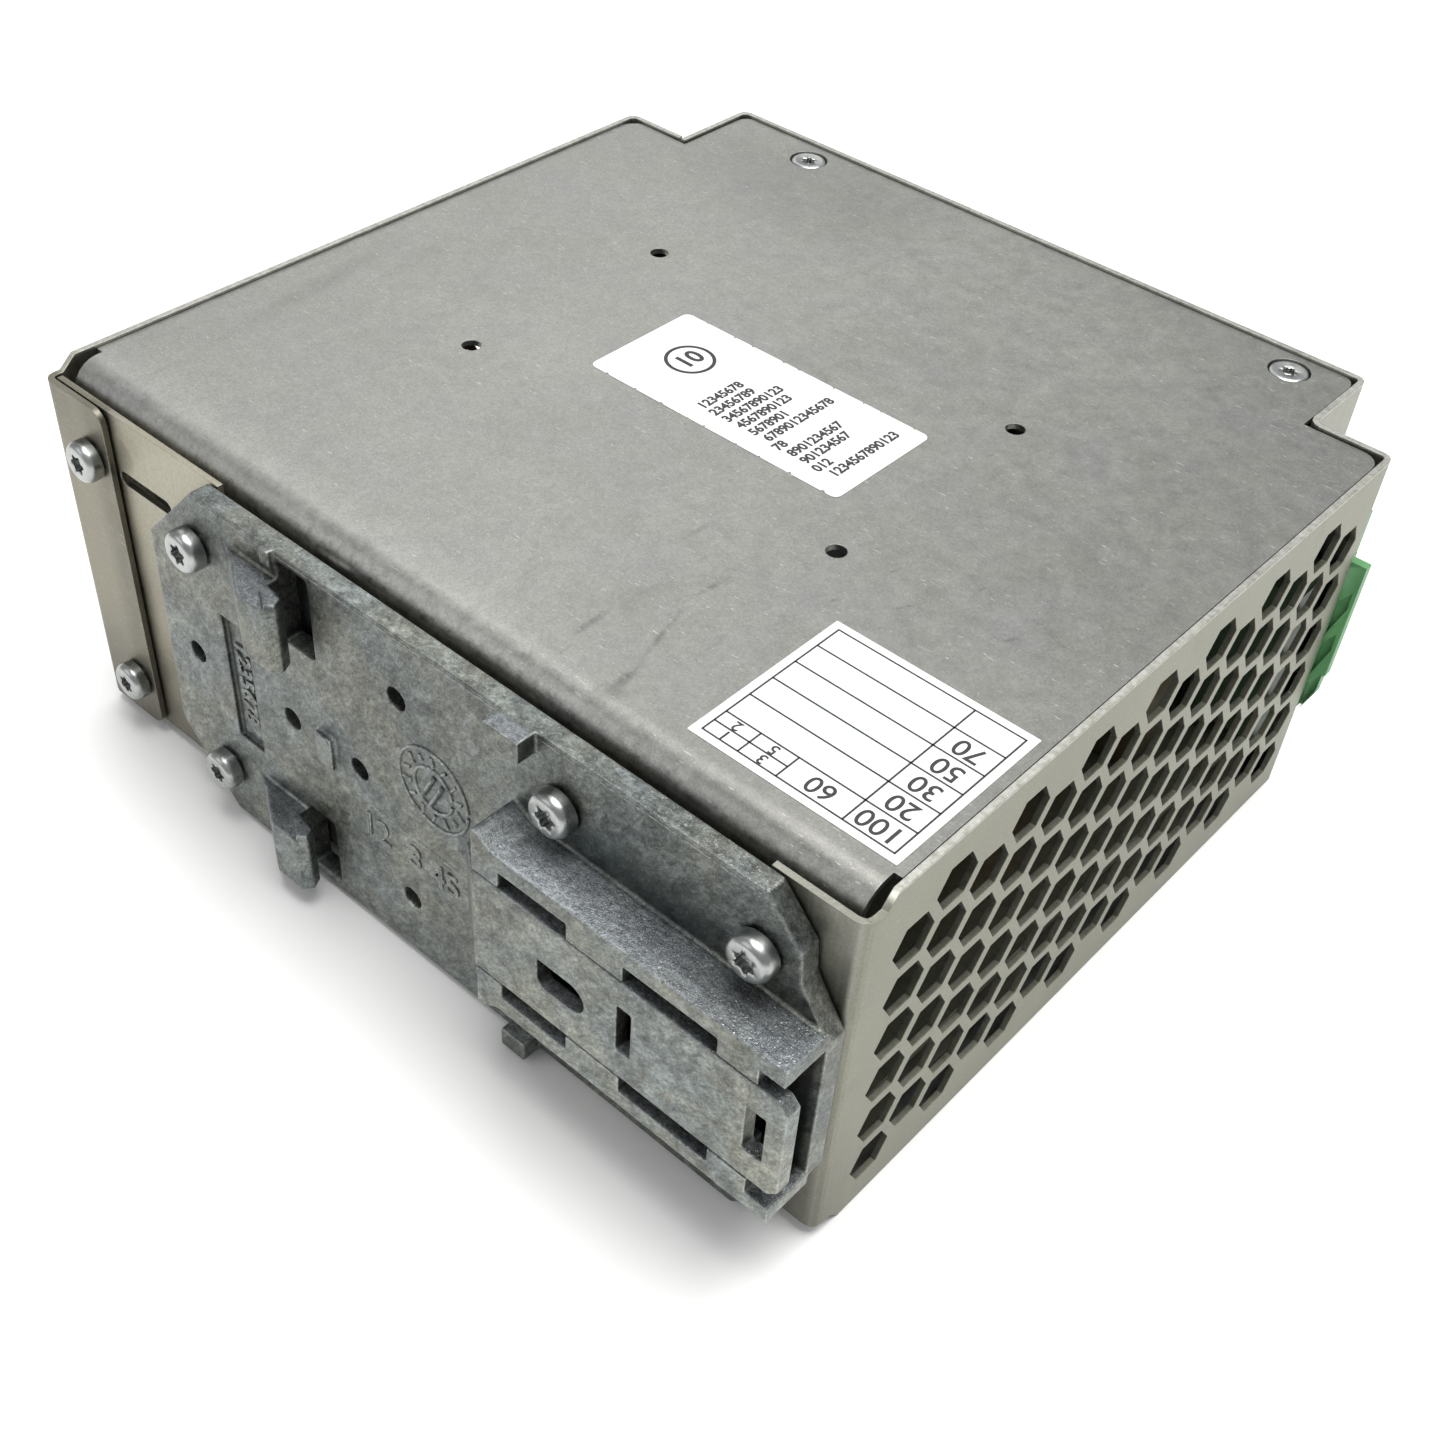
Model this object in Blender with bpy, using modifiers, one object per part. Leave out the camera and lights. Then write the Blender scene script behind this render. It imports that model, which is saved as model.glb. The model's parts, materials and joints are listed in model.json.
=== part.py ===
"""DIN rail power supply in a bent aluminium case, lying on its side.

The case's height runs along X, its depth along Y (back with the rail adapter at -Y,
front with the terminals at +Y), and its width along Z, so that it rests on one side
panel. Dimensions below are in millimetres in the case's own frame, whose corner is the
back left bottom corner of the band; place() moves them to the model's frame in metres.
"""

import math

import bmesh
import bpy
from mathutils import Matrix, Vector

# ---------------------------------------------------------------- driving dimensions
LENGTH = 130.0          # case height, along X
DEPTH = 120.2           # back wall to front wall, along Y
STEP = 105.9            # depth at the two stepped corners
WIDTH = 55.0            # case width, along Z
NOTCH = 10.85           # width of each stepped corner
SHEET = 0.8             # sheet thickness
GAP = 0.3               # clearance between pieces that touch
FRONT_PROUD = 0.8       # status lamp stands this far out of the front
RIM = 1.7               # back wall is this much narrower than the band at each edge

PANEL_DROP = 0.4        # side panel's outer face below the rim
PANEL_SIDE_GAP = 0.28
PANEL_BEND = 4.0        # outer radius of the panel's bend
PANEL_FLANGE = 9.0      # straight part of the panel below the bend
PATTERN_X = (32.5, 93.0)          # adapter and side mounting pattern
PATTERN_Y = (41.2, 76.9)
STUDS = ((28.3, 115.0), (110.4, 115.2))

HEX_PITCH = 7.42        # staggered hexagonal vents
HEX_FLAT = 6.05
HEX_COLUMNS = 15
HEX_ROWS = 6
HEX_Y0 = 9.05
HEX_Z0 = 25.65

FACE = 3.0              # adapter plate's front face, out from the back wall
PROUD = 9.4             # guide ridges and foot face, out from the back wall
MID = 27.0              # adapter's centre line, along Z
PLATE_HALF = 26.3
SCREW_Z = 18.1
SCREW_X = (31.4, 93.2, 120.4)
RAIL_STOP = 47.6        # side of the fixed hooks that a 35 mm rail bears on
RAIL = 35.0
FOOT_TRAVEL = 5.0
FOOT_HALF = 7.85
FOOT_LEFT = 85.8
FOOT_RIGHT = 130.45
RIDGE_LEFT = 86.0
RIDGE_RIGHT = 129.7
RIDGE_HALF = 12.9
LIP_HALF = 8.2
RIDGE_WALL = 2.2
LIP_THICK = 1.8
NOTCHES = ((90.0, 100.2), (108.2, 121.0), (126.4, 131.0))
SPRING_COIL = 2.2
SPRING_WIRE = 0.28
SPRING_TURNS = 9

PLUG_Z = (12.9, 38.3)
PLUG_PITCH = 7.62
OUT_PITCH = 5.6

CENTRE_X = LENGTH / 2
CENTRE_Y = (DEPTH + FRONT_PROUD - PROUD) / 2

# ---------------------------------------------------------------- scene and helpers
for old in list(bpy.data.objects):
    bpy.data.objects.remove(old)

SCENE = bpy.context.scene
PARTS = bpy.data.collections.new("din_rail_power_supply")
CUTTERS = bpy.data.collections.new("cutters")
SCENE.collection.children.link(PARTS)
SCENE.collection.children.link(CUTTERS)


def place(x, y, z):
    """Case coordinates in millimetres to the model's frame in metres."""
    return Vector(((x - CENTRE_X) / 1000, (y - CENTRE_Y) / 1000, z / 1000))


def material(name, colour, roughness, metallic):
    found = bpy.data.materials.new(name)
    found.use_nodes = True
    shader = found.node_tree.nodes["Principled BSDF"]
    shader.inputs["Base Color"].default_value = (*colour, 1.0)
    shader.inputs["Roughness"].default_value = roughness
    shader.inputs["Metallic"].default_value = metallic
    return found


FINISH = {
    "sheet": ((0.40, 0.38, 0.33), 0.42, 1.0),
    "panel": ((0.33, 0.32, 0.31), 0.50, 1.0),
    "zinc": ((0.27, 0.29, 0.30), 0.50, 1.0),
    "screw": ((0.62, 0.64, 0.64), 0.25, 1.0),
    "spring": ((0.35, 0.35, 0.35), 0.30, 1.0),
    "green": ((0.10, 0.36, 0.13), 0.45, 0.0),
    "header": ((0.09, 0.32, 0.12), 0.50, 0.0),
    "board": ((0.05, 0.22, 0.10), 0.50, 0.0),
    "film": ((0.75, 0.70, 0.55), 0.35, 0.0),
    "aluminium": ((0.60, 0.61, 0.62), 0.40, 1.0),
    "ferrite": ((0.08, 0.08, 0.09), 0.60, 0.0),
    "tape": ((0.75, 0.62, 0.12), 0.45, 0.0),
    "copper": ((0.60, 0.25, 0.10), 0.35, 1.0),
    "sleeve": ((0.04, 0.05, 0.09), 0.35, 0.0),
    "black": ((0.03, 0.03, 0.03), 0.50, 0.0),
    "blue": ((0.08, 0.20, 0.50), 0.45, 0.0),
    "lamp": ((0.15, 0.55, 0.20), 0.15, 0.0),
    "white": ((0.80, 0.80, 0.78), 0.50, 0.0),
    "glass": ((0.75, 0.78, 0.80), 0.10, 0.0),
}


def keep(obj, name, finish):
    """Turns an object into a named piece of the assembly with its own material."""
    for collection in list(obj.users_collection):
        collection.objects.unlink(obj)
    PARTS.objects.link(obj)
    obj.name = name
    obj.hide_render = False
    obj.display_type = "TEXTURED"
    obj.data.materials.clear()
    obj.data.materials.append(material(name + "_material", *FINISH[finish]))
    return obj


def helper(obj):
    obj.hide_render = True
    obj.display_type = "WIRE"
    return obj


def new_mesh(name, bm):
    mesh = bpy.data.meshes.new(name)
    bmesh.ops.recalc_face_normals(bm, faces=bm.faces)
    bm.to_mesh(mesh)
    bm.free()
    obj = bpy.data.objects.new(name, mesh)
    CUTTERS.objects.link(obj)
    return helper(obj)


def box(name, x0, x1, y0, y1, z0, z1):
    """An upright block between two corners."""
    bm = bmesh.new()
    bmesh.ops.create_cube(bm, size=1.0)
    size = Vector((x1 - x0, y1 - y0, z1 - z0)) / 1000
    bmesh.ops.scale(bm, vec=size, verts=bm.verts)
    obj = new_mesh(name, bm)
    obj.location = place((x0 + x1) / 2, (y0 + y1) / 2, (z0 + z1) / 2)
    return obj


AXES = {
    "x": Matrix(((0, 0, 1), (1, 0, 0), (0, 1, 0))),
    "y": Matrix(((1, 0, 0), (0, 0, 1), (0, -1, 0))).transposed().inverted(),
    "z": Matrix.Identity(3),
}
AXES["y"] = Matrix(((0, 1, 0), (0, 0, 1), (1, 0, 0)))


def rod(name, axis, x, y, z, radius, length, sides=16, top=None, turn=0.0):
    """A round bar centred on a point, along an axis; top gives a second radius."""
    bm = bmesh.new()
    bmesh.ops.create_cone(
        bm,
        cap_ends=True,
        segments=sides,
        radius1=radius / 1000,
        radius2=(radius if top is None else top) / 1000,
        depth=length / 1000,
        matrix=Matrix.Rotation(turn, 4, "Z"),
    )
    bmesh.ops.transform(bm, matrix=AXES[axis].to_4x4(), verts=bm.verts)
    obj = new_mesh(name, bm)
    obj.location = place(x, y, z)
    return obj


def to_mesh(curve_obj, name):
    """Replaces a filled curve by its welded mesh."""
    bpy.context.view_layer.update()
    graph = bpy.context.evaluated_depsgraph_get()
    mesh = bpy.data.meshes.new_from_object(curve_obj.evaluated_get(graph))
    bm = bmesh.new()
    bm.from_mesh(mesh)
    bmesh.ops.remove_doubles(bm, verts=bm.verts, dist=1e-6)
    bmesh.ops.dissolve_degenerate(bm, dist=1e-7, edges=bm.edges)
    bmesh.ops.recalc_face_normals(bm, faces=bm.faces)
    bm.to_mesh(mesh)
    bm.free()
    obj = bpy.data.objects.new(name, mesh)
    obj.matrix_world = curve_obj.matrix_world.copy()
    CUTTERS.objects.link(obj)
    bpy.data.objects.remove(curve_obj)
    return helper(obj)


FRAMES = {  # first axis, second axis and normal of the plane a flat outline lies in
    "z": (Vector((1, 0, 0)), Vector((0, 1, 0)), Vector((0, 0, 1))),
    "y": (Vector((1, 0, 0)), Vector((0, 0, 1)), Vector((0, -1, 0))),
    "x": (Vector((0, 1, 0)), Vector((0, 0, 1)), Vector((1, 0, 0))),
}


def slab(name, axis, low, high, outline, holes=()):
    """A flat outline with holes, extruded along an axis between two positions.

    The outline is given as (x, y) for axis z, (x, z) for axis y and (y, z) for axis x.
    """
    curve = bpy.data.curves.new(name, "CURVE")
    curve.dimensions = "2D"
    curve.fill_mode = "BOTH"
    curve.extrude = (high - low) / 2000
    for loop in (outline, *holes):
        spline = curve.splines.new("POLY")
        spline.points.add(len(loop) - 1)
        for point, (a, b) in zip(spline.points, loop):
            point.co = (a / 1000, b / 1000, 0, 1)
        spline.use_cyclic_u = True
    obj = bpy.data.objects.new(name, curve)
    first, second, normal = FRAMES[axis]
    middle = (low + high) / 2
    origin = {
        "z": place(0, 0, middle),
        "y": place(0, middle, 0),
        "x": place(middle, 0, 0),
    }[axis]
    turn = Matrix((first, second, normal)).transposed().to_4x4()
    obj.matrix_world = Matrix.Translation(origin) @ turn
    SCENE.collection.objects.link(obj)
    return to_mesh(obj, name)


def boolean(obj, other, operation):
    modifier = obj.modifiers.new(other.name, "BOOLEAN")
    modifier.operation = operation
    modifier.solver = "EXACT"
    modifier.object = other
    return obj


def cut(obj, *others):
    for other in others:
        boolean(obj, other, "DIFFERENCE")
    return obj


def fuse(obj, *others):
    for other in others:
        boolean(obj, other, "UNION")
    return obj


def bevel(obj, width, segments=1, angle=40.0):
    modifier = obj.modifiers.new("edges", "BEVEL")
    modifier.width = width / 1000
    modifier.segments = segments
    modifier.limit_method = "ANGLE"
    modifier.angle_limit = math.radians(angle)
    return obj


def together(name, objects):
    """Several separate cutters as one mesh."""
    bm = bmesh.new()
    for obj in objects:
        start = len(bm.verts)
        bm.from_mesh(obj.data)
        bm.verts.ensure_lookup_table()
        bmesh.ops.transform(bm, matrix=obj.matrix_basis, verts=bm.verts[start:])
        bpy.data.objects.remove(obj)
    return new_mesh(name, bm)


def fillet(points, radii, steps=3):
    """Rounds the inner corners of an open path."""
    path = [points[0]]
    for before, corner, after, radius in zip(points, points[1:], points[2:], radii):
        a, b, c = Vector(before), Vector(corner), Vector(after)
        into, out = (a - b).normalized(), (c - b).normalized()
        half = into.angle(out) / 2
        reach = radius / math.tan(half)
        centre = b + (into + out).normalized() * (radius / math.sin(half))
        start = b + into * reach - centre
        end = b + out * reach - centre
        sweep = start.angle_signed(end)
        for i in range(steps + 1):
            t = -sweep * i / steps
            path.append(
                (
                    centre.x + start.x * math.cos(t) - start.y * math.sin(t),
                    centre.y + start.x * math.sin(t) + start.y * math.cos(t),
                )
            )
    path.append(points[-1])
    return path


def bent_sheet(name, path, axis, low, high, offset):
    """A strip of sheet that follows a path, straight along an axis."""
    bm = bmesh.new()

    def point(a, b, along):
        return place(*{"z": (a, b, along), "x": (along, a, b)}[axis])

    verts = [bm.verts.new(point(a, b, low)) for a, b in path]
    edges = [bm.edges.new(pair) for pair in zip(verts, verts[1:])]
    made = bmesh.ops.extrude_edge_only(bm, edges=edges)["geom"]
    shift = point(0, 0, high) - point(0, 0, low)
    bmesh.ops.translate(
        bm, vec=shift, verts=[v for v in made if isinstance(v, bmesh.types.BMVert)]
    )
    mesh = bpy.data.meshes.new(name)
    bm.to_mesh(mesh)
    bm.free()
    obj = bpy.data.objects.new(name, mesh)
    CUTTERS.objects.link(obj)
    helper(obj)
    solid = obj.modifiers.new("sheet", "SOLIDIFY")
    solid.thickness = SHEET / 1000
    solid.offset = offset
    solid.use_even_offset = True
    return obj


def hex_vents(name, x):
    """Cutter with every hexagonal vent of one end wall, at x."""
    radius = HEX_FLAT / math.sqrt(3)
    found = []
    for column in range(HEX_COLUMNS):
        for row in range(HEX_ROWS):
            y = HEX_Y0 + column * HEX_PITCH * math.sqrt(3) / 2
            z = HEX_Z0 + (HEX_ROWS / 2 - 0.5 - row + (column % 2) / 2) * HEX_PITCH
            found.append(rod("vent", "x", x, y, z, radius, 6, sides=6, turn=math.pi / 6))
    return together(name, found)


def stadium(x0, x1, z, half):
    """Outline of a slot with round ends."""
    turns = [math.pi * i / 6 for i in range(7)]
    right = [(x1 - half + half * math.sin(t), z + half * math.cos(t)) for t in turns]
    left = [(x0 + half - half * math.sin(t), z - half * math.cos(t)) for t in turns]
    return right + left


def rounded_corner(name, axis, low, high, a, b, into_a, into_b, radius):
    """Cutter that rounds one corner (a, b) of a flat piece; into_* point into the piece."""
    arc = []
    for i in range(7):
        t = math.pi / 2 * i / 6
        arc.append(
            (
                a + into_a * radius * (1 - math.sin(t)),
                b + into_b * radius * (1 - math.cos(t)),
            )
        )
    outside = [(a - into_a, b + into_b * radius), (a - into_a, b - into_b), (a + into_a * radius, b - into_b)]
    return slab(name, axis, low, high, arc + outside)


def mirrored(points):
    """An outline of the adapter turned over about its centre line."""
    return [(a, 2 * MID - b) for a, b in points]


# ---------------------------------------------------------------- case
band_path = fillet(
    [
        (1.4, 0),
        (LENGTH, 0),
        (LENGTH, STEP),
        (LENGTH - NOTCH, STEP),
        (LENGTH - NOTCH, DEPTH),
        (NOTCH, DEPTH),
        (NOTCH, STEP - SHEET),
    ],
    [1.6, 1.4, 1.0, 1.4, 1.4],
)
band = bent_sheet("band", band_path, "z", 0, WIDTH, 1)
back_edges = together(
    "back_edges",
    [
        box("e", -2, 132, -2, 1.7, WIDTH - RIM, WIDTH + 2),
        box("e", -2, 132, -2, 1.7, -2, RIM),
    ],
)
# Behind the adapter the back wall is lower still, between these two ends.
plate_reliefs = together(
    "plate_reliefs",
    [
        box("e", 33.6, 118.4, -2, 1.6, WIDTH - RIM - 1.9, WIDTH + 2),
        box("e", 33.6, 118.4, -2, 1.6, -2, RIM + 1.9),
    ],
)


def dip(name, x0, x1, y0, y1, y2, depth):
    """Cutters that lower both rims of an end wall near the back, with a ramp up to y2."""
    line = [(y0, depth), (y1, depth), (y2, 0.0), (y2, -2.0), (y0, -2.0)]
    return [
        slab(name + "_low", "x", x0, x1, line),
        slab(name + "_high", "x", x0, x1, [(y, WIDTH - z) for y, z in line]),
    ]


back_corners = together("back_corners", dip("dip", 127, 132, 1.0, 3.0, 4.6, 1.8))
screw_holes = [
    rod("h", "y", x, 0, MID + s * SCREW_Z, 2.0, 6, sides=12)
    for x in SCREW_X
    for s in (1, -1)
] + [rod("h", "y", 8.2, 0, MID + s * 18.3, 2.0, 6, sides=12) for s in (1, -1)]
openings = together(
    "band_openings",
    screw_holes
    + [
        slab("o", "y", -2, 3, stadium(12.2, 22.6, 44.05, 1.0)),
        box("o", 120.6, 128.2, 102, 108, 14.6, 37.2),
        rod("o", "y", 26, DEPTH, 37, 2.7, 6, sides=16),
        rod("o", "y", 26, DEPTH, 18, 3.4, 6, sides=16),
    ],
)
keep(
    cut(band, back_edges, plate_reliefs, back_corners, openings, hex_vents("end_vents", LENGTH)),
    "chassis_band",
    "sheet",
)

cover_path = fillet(
    [(11.8, -GAP - SHEET), (0, -GAP - SHEET), (0, STEP), (NOTCH - 0.4, STEP)],
    [1.4, 1.4],
)
cover = bent_sheet("cover", cover_path, "z", 0, WIDTH, -1)
cover_corners = together("cover_corners", dip("dip", -2, 3, 0.8, 1.3, 3.3, RIM))
flange_corners = together(
    "flange_corners",
    [
        rounded_corner("f", "y", -4, -0.1, 11.8, WIDTH - RIM, -1, -1, 2.0),
        rounded_corner("f", "y", -4, -0.1, 11.8, RIM, -1, 1, 2.0),
    ],
)
cover_edges = together(
    "cover_edges",
    [
        box("e", -2, 14, -4, 0.9, WIDTH - RIM, WIDTH + 2),
        box("e", -2, 14, -4, 0.9, -2, RIM),
        box("e", 1.8, 9.4, 102, 108, 14.6, 37.2),
    ]
    + [rod("h", "y", 8.2, 0, MID + s * 18.3, 2.0, 6, sides=12) for s in (1, -1)],
)
keep(
    cut(cover, cover_edges, cover_corners, flange_corners, hex_vents("cover_vents", 0)),
    "end_cover",
    "sheet",
)


def side_panel(name, up):
    """Inset side panel with the bent back edge; up is +1 for the upper one."""

    def z_of(depth_below_rim):
        return WIDTH - depth_below_rim if up > 0 else depth_below_rim

    face = z_of(PANEL_DROP)
    back = SHEET + 0.8
    profile = fillet(
        [
            (DEPTH - SHEET - PANEL_SIDE_GAP, face),
            (back, face),
            (back, face - up * (PANEL_BEND + PANEL_FLANGE)),
        ],
        [PANEL_BEND],
        steps=6,
    )
    left, right = SHEET + PANEL_SIDE_GAP, LENGTH - SHEET - PANEL_SIDE_GAP
    panel = bent_sheet(name, profile, "x", left, right, 1 if up > 0 else -1)
    low, high = sorted((face - up * 3, face + up * 3))
    step = STEP - SHEET - PANEL_SIDE_GAP
    inner_left = NOTCH + SHEET + PANEL_SIDE_GAP
    inner_right = LENGTH - inner_left
    cuts = [
        box("c", -1, inner_left, step, 125, low, high),
        box("c", inner_right, 131, step, 125, low, high),
    ]
    cuts += [
        rod("c", "z", x, y, face, 1.3, 6, sides=14) for x in PATTERN_X for y in PATTERN_Y
    ]
    cuts += [rod("c", "z", x, y, face, 2.9, 6, sides=18) for x, y in STUDS]
    screw_z = MID + up * SCREW_Z
    cuts += [rod("c", "y", x, back, screw_z, 2.5, 4, sides=12) for x in (8.2, *SCREW_X)]
    relief = sorted((face - up * 30, face + up * 2))
    cuts += [
        box("c", left - 1, left + 1.0, -1, 6.4, *relief),
        box("c", right - 1.0, right + 1, -1, 6.4, *relief),
    ]
    front = DEPTH - SHEET - PANEL_SIDE_GAP
    rounds = [
        rounded_corner("c", "z", low, high, a, b, into, -1, radius)
        for a, b, into, radius in (
            (left, step, 1, 2.6),
            (right, step, -1, 2.6),
            (inner_left, front, 1, 1.8),
            (inner_right, front, -1, 1.8),
        )
    ]
    keep(
        cut(panel, together(name + "_cuts", cuts), together(name + "_rounds", rounds)),
        name,
        "panel",
    )
    for number, (x, y) in enumerate(STUDS, 1):
        stud = rod("stud", "z", x, y, face - up * 2.5, 2.6, 5, sides=18)
        keep(stud, f"{name}_stud_{number}", "screw")


side_panel("side_panel_upper", 1)
side_panel("side_panel_lower", -1)


# ---------------------------------------------------------------- screws
def pan_screw(name, x, y, z, head, height, shank, reach):
    """Pan-head screw with a six-lobed recess; its head points to -Y."""
    bm = bmesh.new()
    profile = [
        (0.0, height),
        (head * 0.30, height),
        (head * 0.40, height * 0.93),
        (head * 0.5, height * 0.55),
        (head * 0.5, 0.0),
        (shank, 0.0),
        (shank, -reach + 0.5),
        (shank - 0.5, -reach),
        (0.0, -reach),
    ]
    verts = [bm.verts.new((r / 1000, 0, h / 1000)) for r, h in profile]
    for pair in zip(verts, verts[1:]):
        bm.edges.new(pair)
    mesh = bpy.data.meshes.new(name)
    bm.to_mesh(mesh)
    bm.free()
    obj = bpy.data.objects.new(name, mesh)
    CUTTERS.objects.link(obj)
    obj.matrix_world = Matrix.Translation(place(x, y, z)) @ Matrix.Rotation(
        math.radians(90), 4, "X"
    )
    turn = obj.modifiers.new("turn", "SCREW")
    turn.angle = math.tau
    turn.steps = turn.render_steps = 14
    turn.use_merge_vertices = True
    turn.merge_threshold = 0.00001
    turn.use_normal_calculate = False
    lobes = []
    for i in range(12):
        angle = math.tau * i / 12
        r = head * (0.22 if i % 2 == 0 else 0.15)
        lobes.append((x + r * math.cos(angle), z + r * math.sin(angle)))
    recess = slab(name + "_recess", "y", y - height - 1, y - height + height * 0.55, lobes)
    keep(cut(obj, recess), name, "screw")
    return obj


number = 0
for sign in (1, -1):
    for x in SCREW_X:
        number += 1
        pan_screw(
            f"adapter_screw_{number}", x, -FACE - GAP, MID + sign * SCREW_Z, 5.7, 2.25, 1.7, 6.2
        )
for number, sign in enumerate((1, -1), 1):
    pan_screw(
        f"cover_screw_{number}", 8.2, -2 * GAP - SHEET, MID + sign * 18.3, 5.6, 2.1, 1.7, 4.4
    )

# ---------------------------------------------------------------- rail adapter
upper = [
    (21.9, 42.4),
    (32.3, MID + PLATE_HALF),
    (120.4, MID + PLATE_HALF),
    (125.2, 48.2),
    (125.6, 44.2),
    (RIDGE_RIGHT, 38.2),
]
lower = mirrored(upper[::-1])
lower[-2:] = [(31.2, MID - PLATE_HALF), (21.3, 11.0)]
outline = upper + lower


def circle(x, z, radius, sides=12):
    return [
        (x + radius * math.cos(math.tau * i / sides), z + radius * math.sin(math.tau * i / sides))
        for i in range(sides)
    ]


plate_holes = [circle(x, MID + s * SCREW_Z, 2.0) for x in SCREW_X for s in (1, -1)]
plate_holes += [
    circle(27.8, 26.3, 1.6),
    circle(46.7, 27.0, 1.6),
    circle(67.2, 43.4, 1.6),
    circle(59.2, 27.0, 1.6),
    circle(67.2, 10.4, 1.6),
]
plate_holes += [
    [(RAIL_STOP, 40.2), (53.0, 40.2), (53.0, 51.9), (RAIL_STOP, 51.9)],
    [(RAIL_STOP, 2.3), (52.8, 2.3), (52.8, 12.9), (RAIL_STOP, 12.9)],
]
plate = slab("plate", "y", -FACE, -GAP, outline, plate_holes)


def hook(name, low, high):
    """Fixed hook: a ramp on the outside and a lip over the edge of the rail."""
    profile = [
        (37.8, -FACE + 0.4),
        (37.8, -FACE),
        (41.3, -4.7),
        (44.6, -6.9),
        (46.5, -8.0),
        (51.2, -8.0),
        (52.2, -6.8),
        (51.4, -5.2),
        (49.6, -4.5),
        (RAIL_STOP, -4.4),
        (RAIL_STOP, -FACE + 0.4),
    ]
    return slab(name, "z", low, high, profile)


def nub(name, low, high):
    return slab(
        name, "z", low, high, [(48.2, -5.9), (48.5, -4.9), (51.3, -5.4), (52.0, -6.8), (51.0, -7.6)]
    )


def ridge(name, sign):
    """Guide ridge: a wall off the plate with a lip towards the foot."""

    def z(half):
        return MID + sign * half

    wall = slab(
        name,
        "x",
        RIDGE_LEFT,
        RIDGE_RIGHT,
        [
            (-FACE + 0.4, z(RIDGE_HALF)),
            (-FACE + 0.4, z(RIDGE_HALF - RIDGE_WALL)),
            (-PROUD + LIP_THICK, z(RIDGE_HALF - RIDGE_WALL)),
            (-PROUD + LIP_THICK, z(LIP_HALF)),
            (-PROUD, z(LIP_HALF)),
            (-PROUD, z(RIDGE_HALF)),
        ],
    )
    windows = [
        box("w", a, b, -PROUD - 1, -PROUD + 3, *sorted((z(LIP_HALF - 1), z(RIDGE_HALF - 2.3))))
        for a, b in NOTCHES
    ]
    return cut(wall, together(name + "_windows", windows))


def gusset(name, sign):
    """Thicker left end of a ridge, down to the plate."""
    line = [
        (RIDGE_LEFT, 11.2),
        (RIDGE_LEFT, 14.3),
        (86.8, 14.3),
        (89.2, RIDGE_HALF),
        (89.2, 11.2),
    ]
    return slab(name, "y", -PROUD, -FACE + 0.4, [(x, MID + sign * half) for x, half in line])


def span(sign, a, b):
    return sorted((MID + sign * a, MID + sign * b))


hook_1, hook_2 = hook("hook_1", 40.3, 49.3), hook("hook_2", 3.3, 12.2)
nub_1, nub_2 = nub("nub_1", 48.0, 50.0), nub("nub_2", 11.0, 12.9)
ridge_1, ridge_2 = ridge("ridge_1", 1), ridge("ridge_2", -1)
gusset_1, gusset_2 = gusset("gusset_1", 1), gusset("gusset_2", -1)
stop_1 = box("stop_1", 84.4, 89.5, -5.7, -FACE + 0.4, *span(1, 23.4, PLATE_HALF))
stop_2 = box("stop_2", 85.6, 89.5, -5.7, -FACE + 0.4, *span(-1, 23.4, PLATE_HALF))
boss = box("boss", 52.2, 55.0, -FACE - 0.8, -FACE + 0.4, 24.3, 29.2)
ledge = box("ledge", 45.8, 47.5, -3.8, -FACE + 0.4, 51.0, PLATE_HALF + MID)
spring_lug = box("spring_lug", 93.95, 95.35, -6.8, -FACE + 0.4, MID - 2.6, MID + 2.6)
marks = box("cast_recess", 34.4, 39.4, -4, -FACE + 0.8, 16.4, 36.3)
adapter = fuse(
    plate, hook_1, hook_2, nub_1, nub_2, ridge_1, ridge_2, gusset_1, gusset_2,
    stop_1, stop_2, boss, ledge, spring_lug,
)
keep(cut(adapter, marks), "rail_adapter", "zinc")

# ---------------------------------------------------------------- sliding foot
corner = 1.2
face_outline = [
    (FOOT_LEFT, MID - FOOT_HALF),
    (FOOT_RIGHT - corner, MID - FOOT_HALF),
    (FOOT_RIGHT, MID - FOOT_HALF + corner),
    (FOOT_RIGHT, MID + FOOT_HALF - corner),
    (FOOT_RIGHT - corner, MID + FOOT_HALF),
    (FOOT_LEFT, MID + FOOT_HALF),
]
d_slot = [(95.8, 24.8), (95.8, 28.4)] + [
    (100.7 + 2.2 * math.sin(math.pi * i / 8), 26.2 + 2.2 * math.cos(math.pi * i / 8))
    for i in range(9)
] + [(96.6, 24.0)]
slots = [
    d_slot,
    [(107.6, 23.4), (109.65, 23.4), (109.65, 30.8), (107.6, 30.8)],
    [(125.4, 23.4), (128.0, 23.4), (128.0, 30.7), (125.4, 30.7)],
]
foot = slab("foot", "y", -PROUD, -7.3, face_outline, slots)
nose = slab(
    "nose",
    "z",
    MID - 6.0,
    MID + 6.0,
    [
        (88.6, -PROUD + 0.3),
        (FOOT_LEFT + 0.05, -PROUD + 0.3),
        (81.2, -5.9),
        (81.2, -4.6),
        (83.6, -4.6),
        (83.6, -FACE - GAP),
        (88.6, -FACE - GAP),
    ],
)
legs = [
    box("leg_1", 87.5, 122.4, -7.6, -FACE - GAP, *span(1, 4.6, 6.2)),
    box("leg_2", 87.5, 122.4, -7.6, -FACE - GAP, *span(-1, 4.6, 6.2)),
]
seat = box("spring_seat", 118.3, 119.8, -7.6, -FACE - GAP, MID - 5.4, MID + 5.4)
wings = [
    box(f"wing_{i}_{j}", a, b, -7.3, -5.2, *span(sign, 5.4, 10.3))
    for i, (a, b) in enumerate(((86.6, 89.4), (101.2, 106.6), (121.4, 125.0)))
    for j, sign in enumerate((1, -1))
]
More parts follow.
